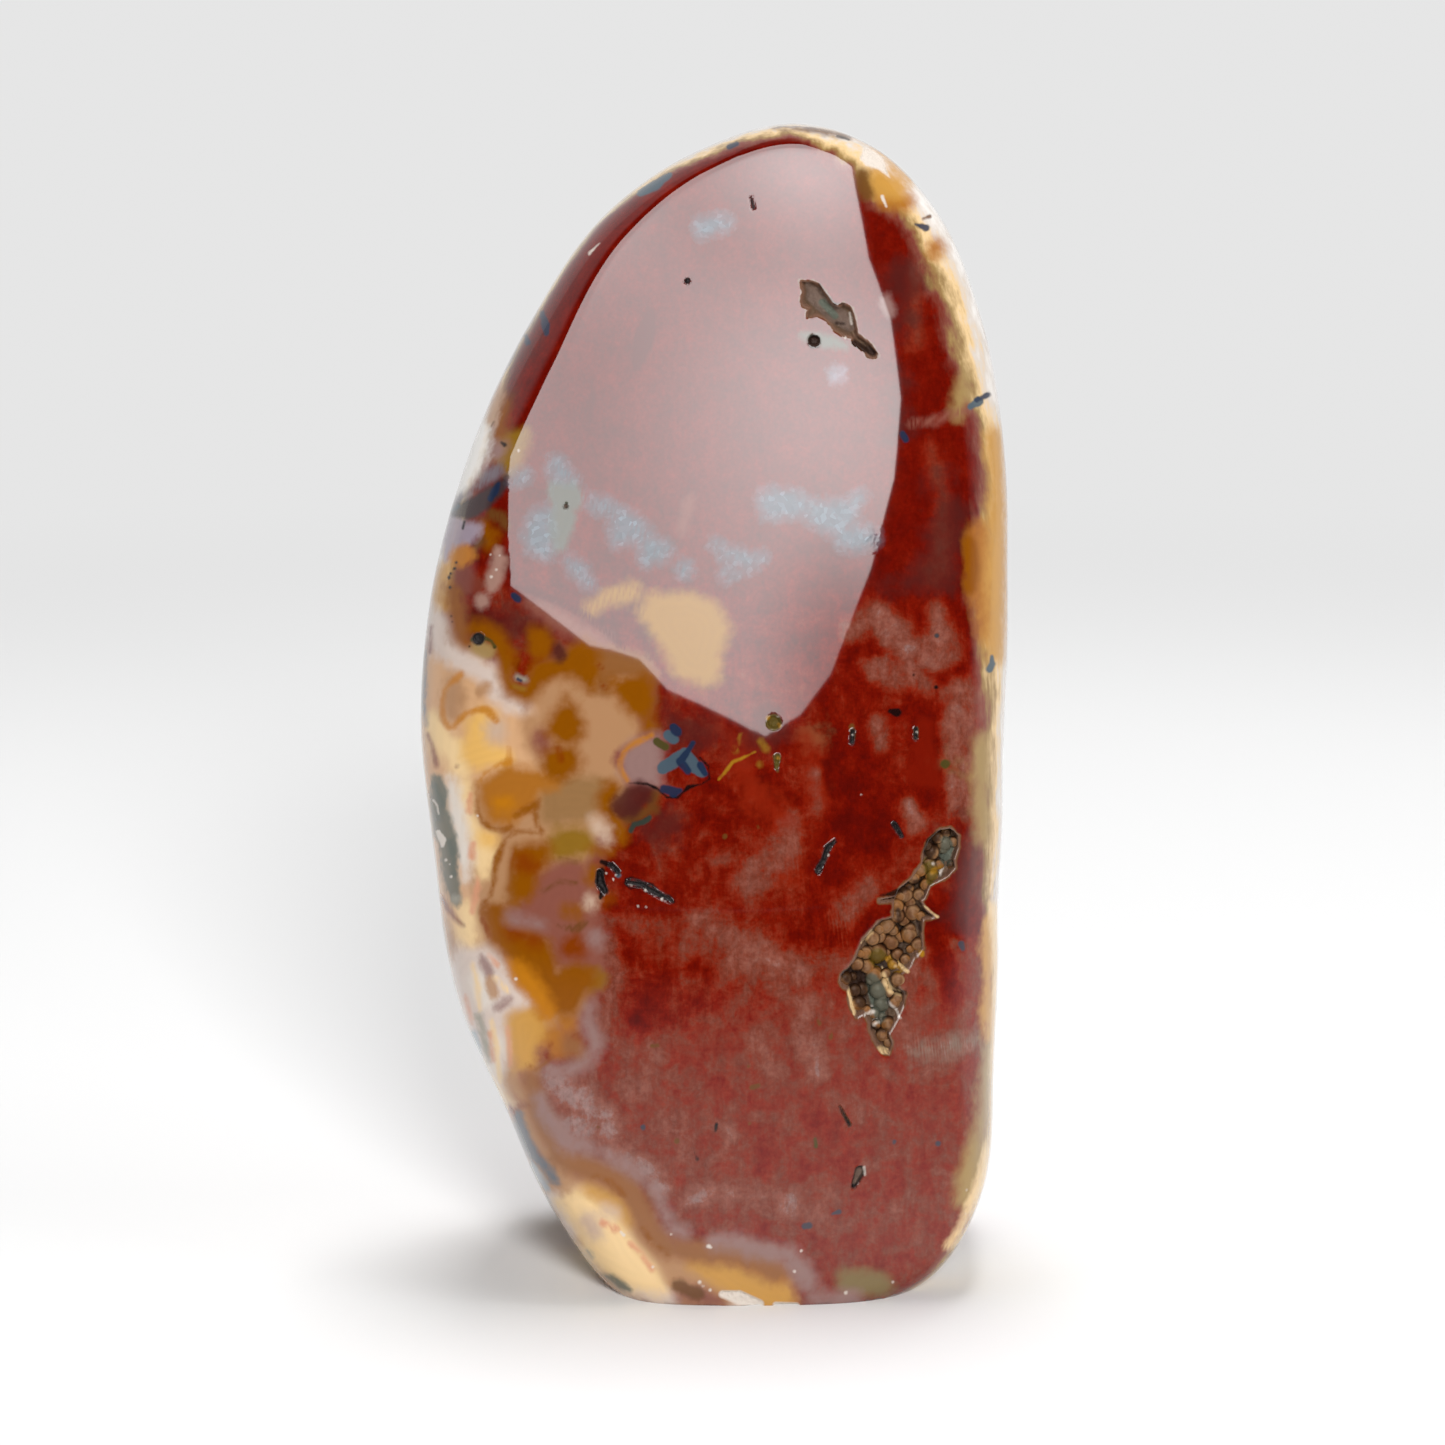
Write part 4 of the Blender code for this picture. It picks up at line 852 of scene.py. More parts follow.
# Sharp marks inside the two hollows and on their lips, from the deepest to the topmost; the umber ones are
# painted shade and the white ones painted glints
HOLLOW_MARKS = {
    "taupe": [
        [(11.4, 121.2, 0.3), (12.3, 119.8, 1.1), (13.4, 118.5, 0.9), (15.4, 117.1, 1.1),
         (16.5, 116, 0.6)], [(-18.1, 94.2, 0.28)], [(17.7, 12.9, 0.45), (17.1, 11.6, 0.25)],
    ],
    "grey green": [
        [(28.3, 53.4, 0.6), (28.4, 52.2, 0.9), (28.3, 51.1, 0.7)],
        [(19.2, 36.5, 0.8), (19.8, 35, 1.1), (20.3, 33, 1.1), (20.2, 31.5, 0.5)],
        [(13.3, 118.9, 0.5), (14.8, 117.3, 0.4)],
    ],
    "moss": [
        [(20, 39.1, 1.15)], [(7.2, 67.8, 1)], [(7.7, 63.6, 0.35), (7.6, 62.2, 0.22)],
        [(26.2, 50.3, 0.7), (26.6, 49.3, 0.8), (26.3, 48.4, 0.5)],
    ],
    "honey glow": [
        [(21.2, 38.7, 0.5), (21.8, 37.9, 0.5), (22.8, 37.7, 0.4)],
        [(26.7, 49.6, 0.4), (27.6, 50.2, 0.25)], [(25.3, 39.6, 0.4)], [(6.6, 68.3, 0.3)],
        [(7.9, 67.4, 0.25)], [(7.8, 63.4, 0.15)],
    ],
    # Painted shade: near-black umber in the hollows' shadowed corners, along their edges and in one deep
    # pit
    "umber": [
        [(16, 37, 0.6), (17.3, 36.6, 1.1), (17.7, 35, 1.1), (18, 33.4, 0.6)],
        [(25.9, 52, 0.4), (26.4, 53.2, 0.6), (27.4, 54.3, 0.35), (29.1, 54.4, 0.25)],
        [(26.2, 51.5, 0.5), (26.7, 52.4, 0.5)], [(29, 50.4, 0.35)],
        [(19.4, 30.4, 0.35), (20.8, 30.2, 0.35)],
        [(20.3, 46.7, 0.15), (22, 47, 0.35), (23.6, 47.6, 0.3), (25.2, 48.6, 0.25)],
        [(22.4, 44.9, 0.35), (22.6, 43.6, 0.3)], [(25.1, 42.4, 0.3), (24.9, 43, 0.3)],
        [(22.2, 35, 0.2), (23.3, 34.8, 0.3)],
        [(12.8, 121.3, 0.12), (13.8, 120, 0.14), (14.7, 118.9, 0.14), (15.9, 118.9, 0.12)],
        [(17, 114.1, 0.35), (18.2, 113.5, 0.35), (19.4, 112.9, 0.4)],
        [(14.9, 116.4, 0.2), (16, 116.3, 0.15)], [(12.2, 114.2, 0.75)],
    ],
    "cream": [
        [(20.6, 37.1, 0.2), (21, 36, 0.3), (21.6, 34.9, 0.25)], [(21.4, 35, 0.1), (22.8, 34.6, 0.12)],
        [(22.2, 38, 0.15), (23.6, 37.4, 0.2)],
        [(16.4, 35, 0.12), (16.7, 33.4, 0.2), (17.2, 32.2, 0.15)],
        [(19.9, 28.1, 0.12), (20.6, 27.6, 0.25), (21.3, 27.5, 0.15)],
        [(18, 40.8, 0.1), (19.2, 42.3, 0.15)], [(25.6, 45.4, 0.06), (27.2, 44.1, 0.1)],
    ],
    # Painted glints: white specks where crystals in the hollows, pits and cracks catch the light
    "white": [
        [(18.3, 32, 0.12), (19.3, 32.5, 0.22)],
        [(21.2, 33.7, 0.1), (22, 32.7, 0.18), (22.7, 31.7, 0.08)],
        [(19.5, 31, 0.15), (20.3, 31.4, 0.12)], [(27.6, 49, 0.18), (28, 49.8, 0.08)],
        [(26.7, 50.5, 0.12)], [(16.6, 117.7, 0.1), (16.7, 116.8, 0.22), (16.8, 116.3, 0.1)],
        [(16, 114.8, 0.12)], [(7.7, 68.4, 0.12)], [(18.3, 13.5, 0.12), (18.4, 12.6, 0.1)],
        [(-13.2, 49.4, 0.1)], [(-12.4, 48.6, 0.12)], [(-8.4, 47.3, 0.1)], [(-6.4, 46.2, 0.1)],
        [(16.9, 66.2, 0.1)], [(24.7, 66.6, 0.08)], [(18, 59, 0.1)], [(13.9, 51.6, 0.12)],
    ],
}


def all_marks(*groups):
    """Every mark of some groups, in one list."""
    return [mark for group in groups for marks in group.values() for mark in marks]


def places_of(work):
    """Where the camera sees the middle of each face of the flat discs, and which faces are the back's."""
    centres = np.array([face.calc_center_median()[:2] for face in work.faces])
    is_back = np.array([face.material_index == 1 for face in work.faces])
    across, up = as_seen(skin(centres, is_back))
    return across, up, is_back


# The mesh is finer near the hollows and pits and near the thin marks, within these distances in turn
FINER_WITHIN = ((1.2, 0.9), (0.5, 0.45))
work = two_faces(FACE_CELLS)
refine(work, ~places_of(work)[2])
for hollow_margin, line_margin in FINER_WITHIN:
    across, up, is_back = places_of(work)
    close = marks_distance(LOWER_HOLLOW + UPPER_HOLLOW, across, up) < hollow_margin
    close |= marks_distance(all_marks(PITS, CHIPS), across, up) < hollow_margin
    close |= marks_distance(all_marks(LINES), across, up) < line_margin
    refine(work, close & ~is_back)
flat = np.array([vert.co[:2] for vert in work.verts])
on_back = np.array([all(face.material_index == 1 for face in vert.link_faces) for vert in work.verts])
for vert, spot in zip(work.verts, skin(flat, on_back)):
    vert.co = spot
sawn = bmesh.ops.bisect_plane(
    work,
    geom=list(work.verts) + list(work.edges) + list(work.faces),
    plane_co=(0, 0, 0),
    plane_no=(0, 0, -1),
    clear_outer=True,
)
cut_edges = [part for part in sawn["geom_cut"] if isinstance(part, bmesh.types.BMEdge)]
base_faces = bmesh.ops.contextual_create(work, geom=cut_edges)["faces"]
for face in work.faces:
    face.smooth = True
    face.material_index = 0
for face in base_faces:
    face.smooth = False
    face.material_index = 1
bmesh.ops.recalc_face_normals(work, faces=list(work.faces))
stone_mesh = bpy.data.meshes.new("polished_stone")
work.to_mesh(stone_mesh)
work.free()


def read_all(items, field, width=1, kind=float):
    """One field of every item of a mesh, as an array."""
    values = np.zeros(len(items) * width, kind)
    items.foreach_get(field, values)
    return values.reshape(-1, width) if width > 1 else values


def keep_field(mesh, name, values):
    """Keeps one number for each point of a mesh, which its material reads by name."""
    attribute = mesh.attributes.new(name, "FLOAT", "POINT")
    attribute.data.foreach_set("value", values.astype(np.float32))


def step_down(away, reach):
    """From 0 at a mark's edge to 1 where the mark is reach deep inside."""
    share = np.clip(-away / reach, 0, 1)
    return share * share * (3 - 2 * share)


# How far round on the back each point lies, from 0 to 1. The marks that the photo shows end there
BEHIND_START = -1.0
BEHIND_END = 7.0
points = read_all(stone_mesh.vertices, "co", 3)
across, up = as_seen(points)
past_seam = points[:, 1] - face_depths(points[:, 0], points[:, 2])[2]
behind = step_down(BEHIND_START - past_seam, BEHIND_END - BEHIND_START)


def front_distance(marks, blend=BLEND):
    """Distance of the stone's points outside marks, which lie on its front only."""
    return marks_distance(marks, across, up, blend) + REACH * 2 * behind


# How deep the hollows' floors sink in two steps, and over what distance in from the lip each step goes
LOWER_STEPS = ((1.4, 0.3), (1.4, 2.4))
UPPER_STEPS = ((0.9, 0.25), (0.5, 1.0))
PIT_SLOPE = 0.35
SHARP_BLEND = 0.15
lower_away = front_distance(LOWER_HOLLOW, SHARP_BLEND)
upper_away = front_distance(UPPER_HOLLOW, SHARP_BLEND)
for away, steps in ((lower_away, LOWER_STEPS), (upper_away, UPPER_STEPS)):
    for depth, slope in steps:
        points[:, 1] += depth * step_down(away, slope)
for depth, marks in {**PITS, **CHIPS}.items():
    points[:, 1] += depth * step_down(front_distance(marks, SHARP_BLEND), PIT_SLOPE)
hollow_away = np.minimum(lower_away, upper_away)
pit_away = front_distance(all_marks(PITS), SHARP_BLEND)
chip_away = front_distance(all_marks(CHIPS), SHARP_BLEND)
keep_field(stone_mesh, "hollow", hollow_away)
keep_field(stone_mesh, "pit", pit_away)
keep_field(stone_mesh, "chip", chip_away)
for colour_name, marks in HOLLOW_MARKS.items():
    keep_field(stone_mesh, f"lip_{colour_name}", front_distance(marks))
# Faces that lie for the most part inside a hollow, a pit or a chip were never polished
rough_away = np.minimum(np.minimum(hollow_away, pit_away), chip_away)
corner_verts = read_all(stone_mesh.loops, "vertex_index", kind=np.int32)
first_corner = read_all(stone_mesh.polygons, "loop_start", kind=np.int32)
face_kind = read_all(stone_mesh.polygons, "material_index", kind=np.int32)
corners_of = np.diff(np.append(first_corner, len(corner_verts)))
face_kind[np.add.reduceat(rough_away[corner_verts], first_corner) / corners_of < 0.0] = 2
stone_mesh.polygons.foreach_set("material_index", face_kind)

DRUSE_BLEND = 0.4
BODY_BLEND = 0.6
keep_field(stone_mesh, "scar", front_distance(SCARS))
keep_field(stone_mesh, "druse", front_distance(DRUSE, DRUSE_BLEND))
keep_field(stone_mesh, "behind", behind)
spoke = np.arctan2(points[:, 2] - MIDDLE_Z, points[:, 0] - MIDDLE_X)
rim_inset = smooth_round(1, spoke) - np.hypot(points[:, 0] - MIDDLE_X, points[:, 2] - MIDDLE_Z)
rind_knots = np.array(sorted((atan2(b - MIDDLE_Z, a - MIDDLE_X), width) for a, b, width in RIND))
rind_width = np.interp(spoke, rind_knots[:, 0], rind_knots[:, 1], period=2 * pi)
keep_field(stone_mesh, "rind_depth", rim_inset / rind_width)
# How red the jasper is where no share is given and on the back, and how a share fades in round its places
RED_ELSEWHERE = 0.84
RED_BEHIND = 0.56
RED_SPREAD = 1.2
RED_FADE = 2.4
red_share = np.full(len(points), RED_ELSEWHERE)
for share, marks in RED_SHARES:
    red_share += (share - red_share) * step_down(marks_distance(marks, across, up) - RED_SPREAD, RED_FADE)
keep_field(stone_mesh, "red_share", red_share + (RED_BEHIND - red_share) * behind)
keep_field(stone_mesh, "pale_body", front_distance([PALE_BODY], BODY_BLEND))

# Layers of marks from the deepest to the topmost: marks, softness of their edges, how far they run over
# their traced edges, how far wide and fine swaying moves an edge, all in millimetres, and opacity
LAYERS = {
    "cloud": (CLOUDS, 2.0, 0.0, 2.2, 1.0, 0.7),
    "bloom": (BLOOMS, 1.15, 0.5, 0.6, 0.3, 1.0),
    "pool": (POOLS, 0.6, 0.25, 0.5, 0.22, 0.9),
    "band": (BANDS, 0.4, 0.05, 0.3, 0.18, 0.9),
    "thread": (THREADS, 0.35, 0.1, 0.25, 0.12, 0.8),
    "line": (LINES, 0.16, 0.0, 0.12, 0.1, 0.95),
}
nearest_mark = np.full(len(points), REACH)
for layer, (groups, _, spread, _, _, _) in LAYERS.items():
    for colour_name, marks in groups.items():
        away = front_distance(marks) - spread
        keep_field(stone_mesh, f"{layer}_{colour_name}", away)
        if layer in ("pool", "band", "bloom"):
            nearest_mark = np.minimum(nearest_mark, away)
keep_field(stone_mesh, "nearest_mark", nearest_mark)
stone_mesh.vertices.foreach_set("co", (points * MM).ravel())
stone_mesh.update()


def add(tree, kind, inputs=None, stops=None, **settings):
    """Adds a node to a tree with its settings, its colour stops and what feeds or fills its inputs, where
    a node stands for its first output."""
    made_node = tree.nodes.new(kind)
    for key, value in settings.items():
        setattr(made_node, key, value)
    for key, value in (inputs or {}).items():
        if isinstance(value, bpy.types.Node):
            value = value.outputs[0]
        if isinstance(value, bpy.types.NodeSocket):
            tree.links.new(value, made_node.inputs[key])
        else:
            made_node.inputs[key].default_value = value
    for number, (position, colour) in enumerate(stops or []):
        ramp = made_node.color_ramp.elements
        stop = ramp[number] if number < 2 else ramp.new(position)
        stop.position = position
        stop.color = colour
    return made_node


def new_material(name):
    """An empty material, with its node tree."""
    material = bpy.data.materials.new(name)
    material.use_nodes = True
    material.node_tree.nodes.clear()
    return material, material.node_tree


def linear(sheen, opacity=1.0):
    """An sRGB hex colour as linear red, green, blue and opacity."""
    parts = [int(sheen[i:i + 2], 16) / 255 for i in (1, 3, 5)]
    return (*[p / 12.92 if p <= 0.04045 else ((p + 0.055) / 1.055) ** 2.4 for p in parts], opacity)


# The palette holds tones as the studio light shows them, brighter than the stone itself by this gain
STUDIO_GAIN = 1.34


def stone_tone(name, opacity=1.0):
    """A tone of the palette as the stone's own colour, in linear red, green, blue and opacity."""
    return (*[part / STUDIO_GAIN for part in linear(PALETTE[name])[:3]], opacity)


ink = {name: stone_tone(name) for name in PALETTE}

# Polished ocean jasper: silica as hard as quartz, ground and then polished to a wet gloss. The eye gets
# deep saturated reds under a clear surface, with sharp reflections except in the pits and the druse.
QUARTZ_IOR = 1.54
MOTTLE_WIDE = 9.0
SWAY_FINE = 1.1
DRAWN_OUT = 0.22
# Noises: size of their lumps in millimetres, detail, roughness and distortion. Two are drawn out upwards
NOISES = {
    "wide": (5.0, 3.0, 0.5, 0.0),
    "fine": (SWAY_FINE, 3.0, 0.5, 0.0),
    "tone": (MOTTLE_WIDE, 7.0, 0.65, 0.7),
    "mottle": (2.4, 8.0, 0.68, 0.3),
    "grain": (0.45, 4.0, 0.5, 0.0),
    "streak": (1.3, 4.0, 0.6, 0.0),
    "fleck": (0.8, 5.0, 0.7, 0.0),
}
jasper, tree = new_material("polished_ocean_jasper")
body = add(tree, "ShaderNodeTexCoord").outputs["Object"]
drawn_out = add(tree, "ShaderNodeVectorMath", {0: body, 1: (1, 1, DRAWN_OUT)}, operation="MULTIPLY")
noises = {}
for name, (size, detail, rough, twist) in NOISES.items():
    place = drawn_out if name in ("streak", "fleck") else body
    lumps = {"Scale": 1 / MM / size, "Detail": detail, "Roughness": rough, "Distortion": twist}
    noises[name] = add(tree, "ShaderNodeTexNoise", {"Vector": place, **lumps})
wide, fine, tone, mottle, grain, streak, fleck = noises.values()
# The jasper is mottled below this height in metres, and calmer from the second one up
CALM_START = 0.08
CALM_FULL = 0.1
CALM_SHARE = 0.5
height = add(tree, "ShaderNodeSeparateXYZ", {0: body}).outputs["Z"]
calm = {"From Min": CALM_START, "From Max": CALM_FULL, "To Min": 1.0, "To Max": CALM_SHARE}
calm = add(tree, "ShaderNodeMapRange", {"Value": height, **calm})
# How far each noise, of mean 0.5, pushes the jasper towards red or veil
red_share = add(tree, "ShaderNodeAttribute", attribute_name="red_share").outputs["Fac"]
for noise, push in ((tone, 0.6), (mottle, 1.1), (fleck, 0.32)):
    swing = add(tree, "ShaderNodeMath", {0: noise, 1: 0.5}, operation="SUBTRACT")
    swing = add(tree, "ShaderNodeMath", {0: swing, 1: calm}, operation="MULTIPLY")
    red_share = add(tree, "ShaderNodeMath", {0: swing, 1: push, 2: red_share}, operation="MULTIPLY_ADD")
colour = add(
    tree,
    "ShaderNodeValToRGB",
    {"Fac": red_share},
    [
        (0.02, ink["dusk"]),
        (0.2, ink["dust"]),
        (0.42, ink["brick"]),
        (0.56, ink["scarlet"]),
        (0.7, ink["bright red"]),
        (0.84, ink["red"]),
        (1.0, ink["deep red"]),
    ],
)
# The grain and the upright streaks lighten and darken the tone by up to these shares
for noise, share in ((grain, 0.14), (streak, 0.12)):
    shade = {"Value": noise, "From Min": 0.3, "From Max": 0.7, "To Min": 1 - share, "To Max": 1 + share}
    shade = add(tree, "ShaderNodeMapRange", shade)
    colour = add(tree, "ShaderNodeVectorMath", {0: colour, "Scale": shade}, operation="SCALE")


def share_inside(tree, field, start, end, sways=(), most=1.0):
    """From 0 where a field of the mesh is at start to most where it is at end, with swayed edges."""
    away = add(tree, "ShaderNodeAttribute", attribute_name=field).outputs["Fac"]
    for noise, reach in sways:
        away = add(tree, "ShaderNodeMath", {0: noise, 1: reach, 2: away}, operation="MULTIPLY_ADD")
    limits = {"From Min": start, "From Max": end, "To Max": most}
    return add(tree, "ShaderNodeMapRange", {"Value": away, **limits})


def lay_ramp(tree, colour, share, stops, where=1.0):
    """Lays a ramp of tones over a colour, each as opaque as its stop says and as far as where says."""
    ramp = add(tree, "ShaderNodeValToRGB", {"Fac": share}, stops)
    mask = add(tree, "ShaderNodeMath", {0: ramp.outputs[1], 1: where}, operation="MULTIPLY")
    return add(tree, "ShaderNodeMix", {0: mask, 6: colour, 7: ramp}, data_type="RGBA").outputs[2]


def lay_tone(tree, colour, tone, *mask_words):
    """Lays one tone over a colour inside the marks of a field, and gives the mask too."""
    mask = share_inside(tree, *mask_words)
    return add(tree, "ShaderNodeMix", {0: mask, 6: colour, 7: tone}, data_type="RGBA").outputs[2], mask


def lay_marks(tree, colour, layer, colour_names, softness, sways, opacity):
    """Lays the marks of one layer over a colour, their edges swayed by noises of mean 0.5."""
    sway = 0.0
    for noise, reach in sways:
        swing = add(tree, "ShaderNodeMath", {0: noise, 1: 0.5}, operation="SUBTRACT")
        sway = add(tree, "ShaderNodeMath", {0: swing, 1: 4 * reach, 2: sway}, operation="MULTIPLY_ADD")
    for colour_name in colour_names:
        away = add(tree, "ShaderNodeAttribute", attribute_name=f"{layer}_{colour_name}").outputs["Fac"]
        away = add(tree, "ShaderNodeMath", {0: away, 1: sway}, operation="ADD")
        mask = {"Value": away, "From Min": softness, "From Max": -softness, "To Max": opacity}
        mask = add(tree, "ShaderNodeMapRange", mask, interpolation_type="SMOOTHSTEP")
        mixed = add(tree, "ShaderNodeMix", {0: mask, 6: colour, 7: ink[colour_name]}, data_type="RGBA")
        colour = mixed.outputs[2]
    return colour


# On the sides and the back, where the photo shows nothing, orbs stand free in the jasper
ORB_SPACING = 19.0
ORB_SWAY = 6.0
ORB_RAGGED = 0.12
ORBLESS_SHARE = 0.48
turned_away = add(tree, "ShaderNodeAttribute", attribute_name="behind").outputs["Fac"]
sway = {0: wide, 1: (ORB_SWAY * MM, ORB_SWAY * MM, ORB_SWAY * MM), 2: body}
swayed = add(tree, "ShaderNodeVectorMath", sway, operation="MULTIPLY_ADD")
cells = {"Vector": swayed, "Scale": 1 / MM / ORB_SPACING, "Randomness": 0.9}
orb = add(tree, "ShaderNodeTexVoronoi", cells)
orb_size = add(tree, "ShaderNodeMath", {0: mottle, 1: ORB_RAGGED, 2: orb}, operation="MULTIPLY_ADD")
is_orb = {0: orb.outputs["Color"], 1: ORBLESS_SHARE}
is_orb = add(tree, "ShaderNodeMath", is_orb, operation="GREATER_THAN")
orb_here = add(tree, "ShaderNodeMath", {0: is_orb, 1: turned_away}, operation="MULTIPLY")
orb_rings = [
    (0.07, ink["rust"]),
    (0.10, ink["amber"]),
    (0.13, ink["cream"]),
    (0.17, ink["dust"]),
    (0.2, ink["ochre"]),
    (0.23, ink["honey"]),
    (0.3, ink["pearl"]),
    (0.34, ink["olive gold"]),
    (0.36, ink["mauve"]),
    (0.4, stone_tone("rust", 0.0)),
]
colour = lay_ramp(tree, colour, orb_size, orb_rings, orb_here)

# Rind along the rim: pale, waxy and streaked, and worn through in patches on the back
rind_share = share_inside(tree, "rind_depth", 0.85, 2.35, [(wide, 0.9), (streak, 0.8)])
worn = add(tree, "ShaderNodeMapRange", {"Value": tone, "From Min": 0.47, "From Max": 0.55})
worn = add(tree, "ShaderNodeMath", {0: worn, 1: turned_away}, operation="MULTIPLY")
kept = add(tree, "ShaderNodeMath", {0: 1.0, 1: worn}, operation="SUBTRACT")
rind = [
    (0.0, stone_tone("bone", 0.95)),
    (0.18, stone_tone("white", 0.95)),
    (0.34, stone_tone("cream", 0.95)),
    (0.52, stone_tone("khaki", 0.9)),
    (0.68, stone_tone("dust", 0.7)),
    (0.9, stone_tone("rust", 0.0)),
]
colour = lay_ramp(tree, colour, rind_share, rind, kept)

# The pale body: pinkish chalcedony, on which the marks are laid
body_share = share_inside(tree, "pale_body", 3.4, -7.6, [(wide, 4.0), (fine, 1.2)])
pale_tones = [
    (0.0, stone_tone("rust", 0.0)),
    (0.05, stone_tone("dust", 0.5)),
    (0.12, stone_tone("dust", 0.9)),
    (0.24, stone_tone("tan")),
]
colour = lay_ramp(tree, colour, body_share, pale_tones)
for layer, (groups, softness, _, wide_sway, fine_sway, opacity) in LAYERS.items():
    sways = [(wide, wide_sway), (fine, fine_sway)]
    colour = lay_marks(tree, colour, layer, groups, softness, sways, opacity)

# Agate banding that follows the edges of the pale bodies
BAND_PITCH = 0.95
BAND_SWAY = 9.0
nearest = add(tree, "ShaderNodeAttribute", attribute_name="nearest_mark").outputs["Fac"]
phase = add(tree, "ShaderNodeMath", {0: wide, 1: BAND_SWAY}, operation="MULTIPLY")
phase = {0: nearest, 1: 2 * pi / BAND_PITCH, 2: phase}
phase = add(tree, "ShaderNodeMath", phase, operation="MULTIPLY_ADD")
bands = add(tree, "ShaderNodeMath", {0: phase}, operation="SINE")
in_pale = share_inside(tree, "nearest_mark", 0.8, -0.3)
bands = add(tree, "ShaderNodeMath", {0: bands, 1: in_pale}, operation="MULTIPLY")
shade = {"Value": bands, "From Min": -1, "To Min": 0.985, "To Max": 1.01}
shade = add(tree, "ShaderNodeMapRange", shade)
colour = add(tree, "ShaderNodeVectorMath", {0: colour, "Scale": shade}, operation="SCALE")

# Druse: a skin of fine blue-grey quartz crystals
CRYSTAL_SIZE = 0.55
crystals = add(tree, "ShaderNodeTexVoronoi", {"Vector": body, "Scale": 1 / MM / CRYSTAL_SIZE})
druse_tones = [(0.0, ink["pewter"]), (0.5, ink["steel"]), (1.0, ink["ice"])]
druse_tone = add(tree, "ShaderNodeValToRGB", {"Fac": crystals.outputs["Color"]}, druse_tones)
colour, druse_mask = lay_tone(tree, colour, druse_tone, "druse", 1.9, 0.0, [(fine, 1.4)], 0.85)

# Scars, where clear red comes up through the veil, then pits, the bared walls of the hollows with painted
# shade deeper in, and chips
colour, _ = lay_tone(tree, colour, ink["deep red"], "scar", 0.55, 0.1, [(fine, 0.5)], 0.9)
# Pits are painted black: painted shade for the dark inside of each hole
colour, pit_mask = lay_tone(tree, colour, ink["black"], "pit", 0.15, -0.15)
# The hollows' walls are bare brown stone, painted darker the deeper they lie: painted shade
hollow_share = share_inside(tree, "hollow", 0.0, -3.0, [(fine, -0.7)])
hollow_tones_and_painted_shade = [
    (0.0, stone_tone("dust", 0.0)),
    (0.03, stone_tone("brown", 0.7)),
    (0.08, linear("#6a4a3a")),
    (0.3, linear("#54402f")),
    (0.8, linear("#2a1e18")),
]
colour = lay_ramp(tree, colour, hollow_share, hollow_tones_and_painted_shade)
# The lip marks bring painted shade into the hollows' corners and painted glints onto their crystals
colour = lay_marks(tree, colour, "lip", HOLLOW_MARKS, 0.16, [(fine, 0.1)], 0.95)
colour, chip_mask = lay_tone(tree, colour, ink["white"], "chip", 0.1, -0.2)

# The polish is lost where the stone is torn, and slightly scattered where crystals stand in it
POLISH = 0.03
TORN_ROUGHNESS = 0.24
DRUSE_ROUGHNESS = 0.06
DRUSE_RELIEF = 0.04
CRYSTAL_HEIGHT = 0.15
torn = share_inside(tree, "hollow", 0.0, -0.3)
for mask in (pit_mask, chip_mask):
    torn = add(tree, "ShaderNodeMath", {0: torn, 1: mask}, operation="MAXIMUM")
roughness = add(tree, "ShaderNodeMapRange", {"Value": torn, "To Min": POLISH, "To Max": TORN_ROUGHNESS})
roughness = {0: druse_mask, 1: DRUSE_ROUGHNESS, 2: roughness}
roughness = add(tree, "ShaderNodeMath", roughness, operation="MULTIPLY_ADD")
uneven = add(tree, "ShaderNodeMath", {0: druse_mask, 1: DRUSE_RELIEF}, operation="MULTIPLY")
uneven = add(tree, "ShaderNodeMath", {0: torn, 1: uneven}, operation="MAXIMUM")
relief = add(tree, "ShaderNodeMath", {0: crystals, 1: uneven}, operation="MULTIPLY")
bump = add(tree, "ShaderNodeBump", {"Height": relief, "Distance": CRYSTAL_HEIGHT * MM, "Strength": 1.0})
gloss = {"Base Color": colour, "Roughness": roughness, "IOR": QUARTZ_IOR, "Normal": bump}
shader = add(tree, "ShaderNodeBsdfPrincipled", gloss)
add(tree, "ShaderNodeOutputMaterial", {"Surface": shader})

# The same stone as it broke or grew, left rough inside its hollows, pits and chips
BROKEN_ROUGHNESS = 0.6
BROKEN_GLOSS = 0.2
broken_jasper = jasper.copy()
broken_jasper.name = "unpolished_ocean_jasper"
broken_shader = broken_jasper.node_tree.nodes[shader.name]
broken_jasper.node_tree.links.remove(broken_shader.inputs["Roughness"].links[0])
broken_shader.inputs["Roughness"].default_value = BROKEN_ROUGHNESS
broken_shader.inputs["Specular IOR Level"].default_value = BROKEN_GLOSS

# The sawn base: the same stone, lapped flat with a fine grit and left matt
LAPPED_GRAIN = 0.6
LAPPED_DEPTH = 0.05
LAPPED_ROUGHNESS = 0.42
sawn_jasper, tree = new_material("lapped_ocean_jasper")
body = add(tree, "ShaderNodeTexCoord").outputs["Object"]
clouds = {"Vector": body, "Scale": 1 / MM / MOTTLE_WIDE, "Detail": 7.0}
clouds = add(tree, "ShaderNodeTexNoise", clouds)
lapped_tones = [(0.35, ink["maroon"]), (0.48, ink["dust"]), (0.56, ink["mauve"]), (0.64, ink["pearl"])]
tone = add(tree, "ShaderNodeValToRGB", {"Fac": clouds}, lapped_tones)
grit = {"Vector": body, "Scale": 1 / MM / LAPPED_GRAIN, "Detail": 3.0}
grit = add(tree, "ShaderNodeTexNoise", grit)
bump = add(tree, "ShaderNodeBump", {"Height": grit, "Distance": LAPPED_DEPTH * MM})
matt = {"Base Color": tone, "Roughness": LAPPED_ROUGHNESS, "IOR": QUARTZ_IOR, "Normal": bump}
shader = add(tree, "ShaderNodeBsdfPrincipled", matt)
add(tree, "ShaderNodeOutputMaterial", {"Surface": shader})

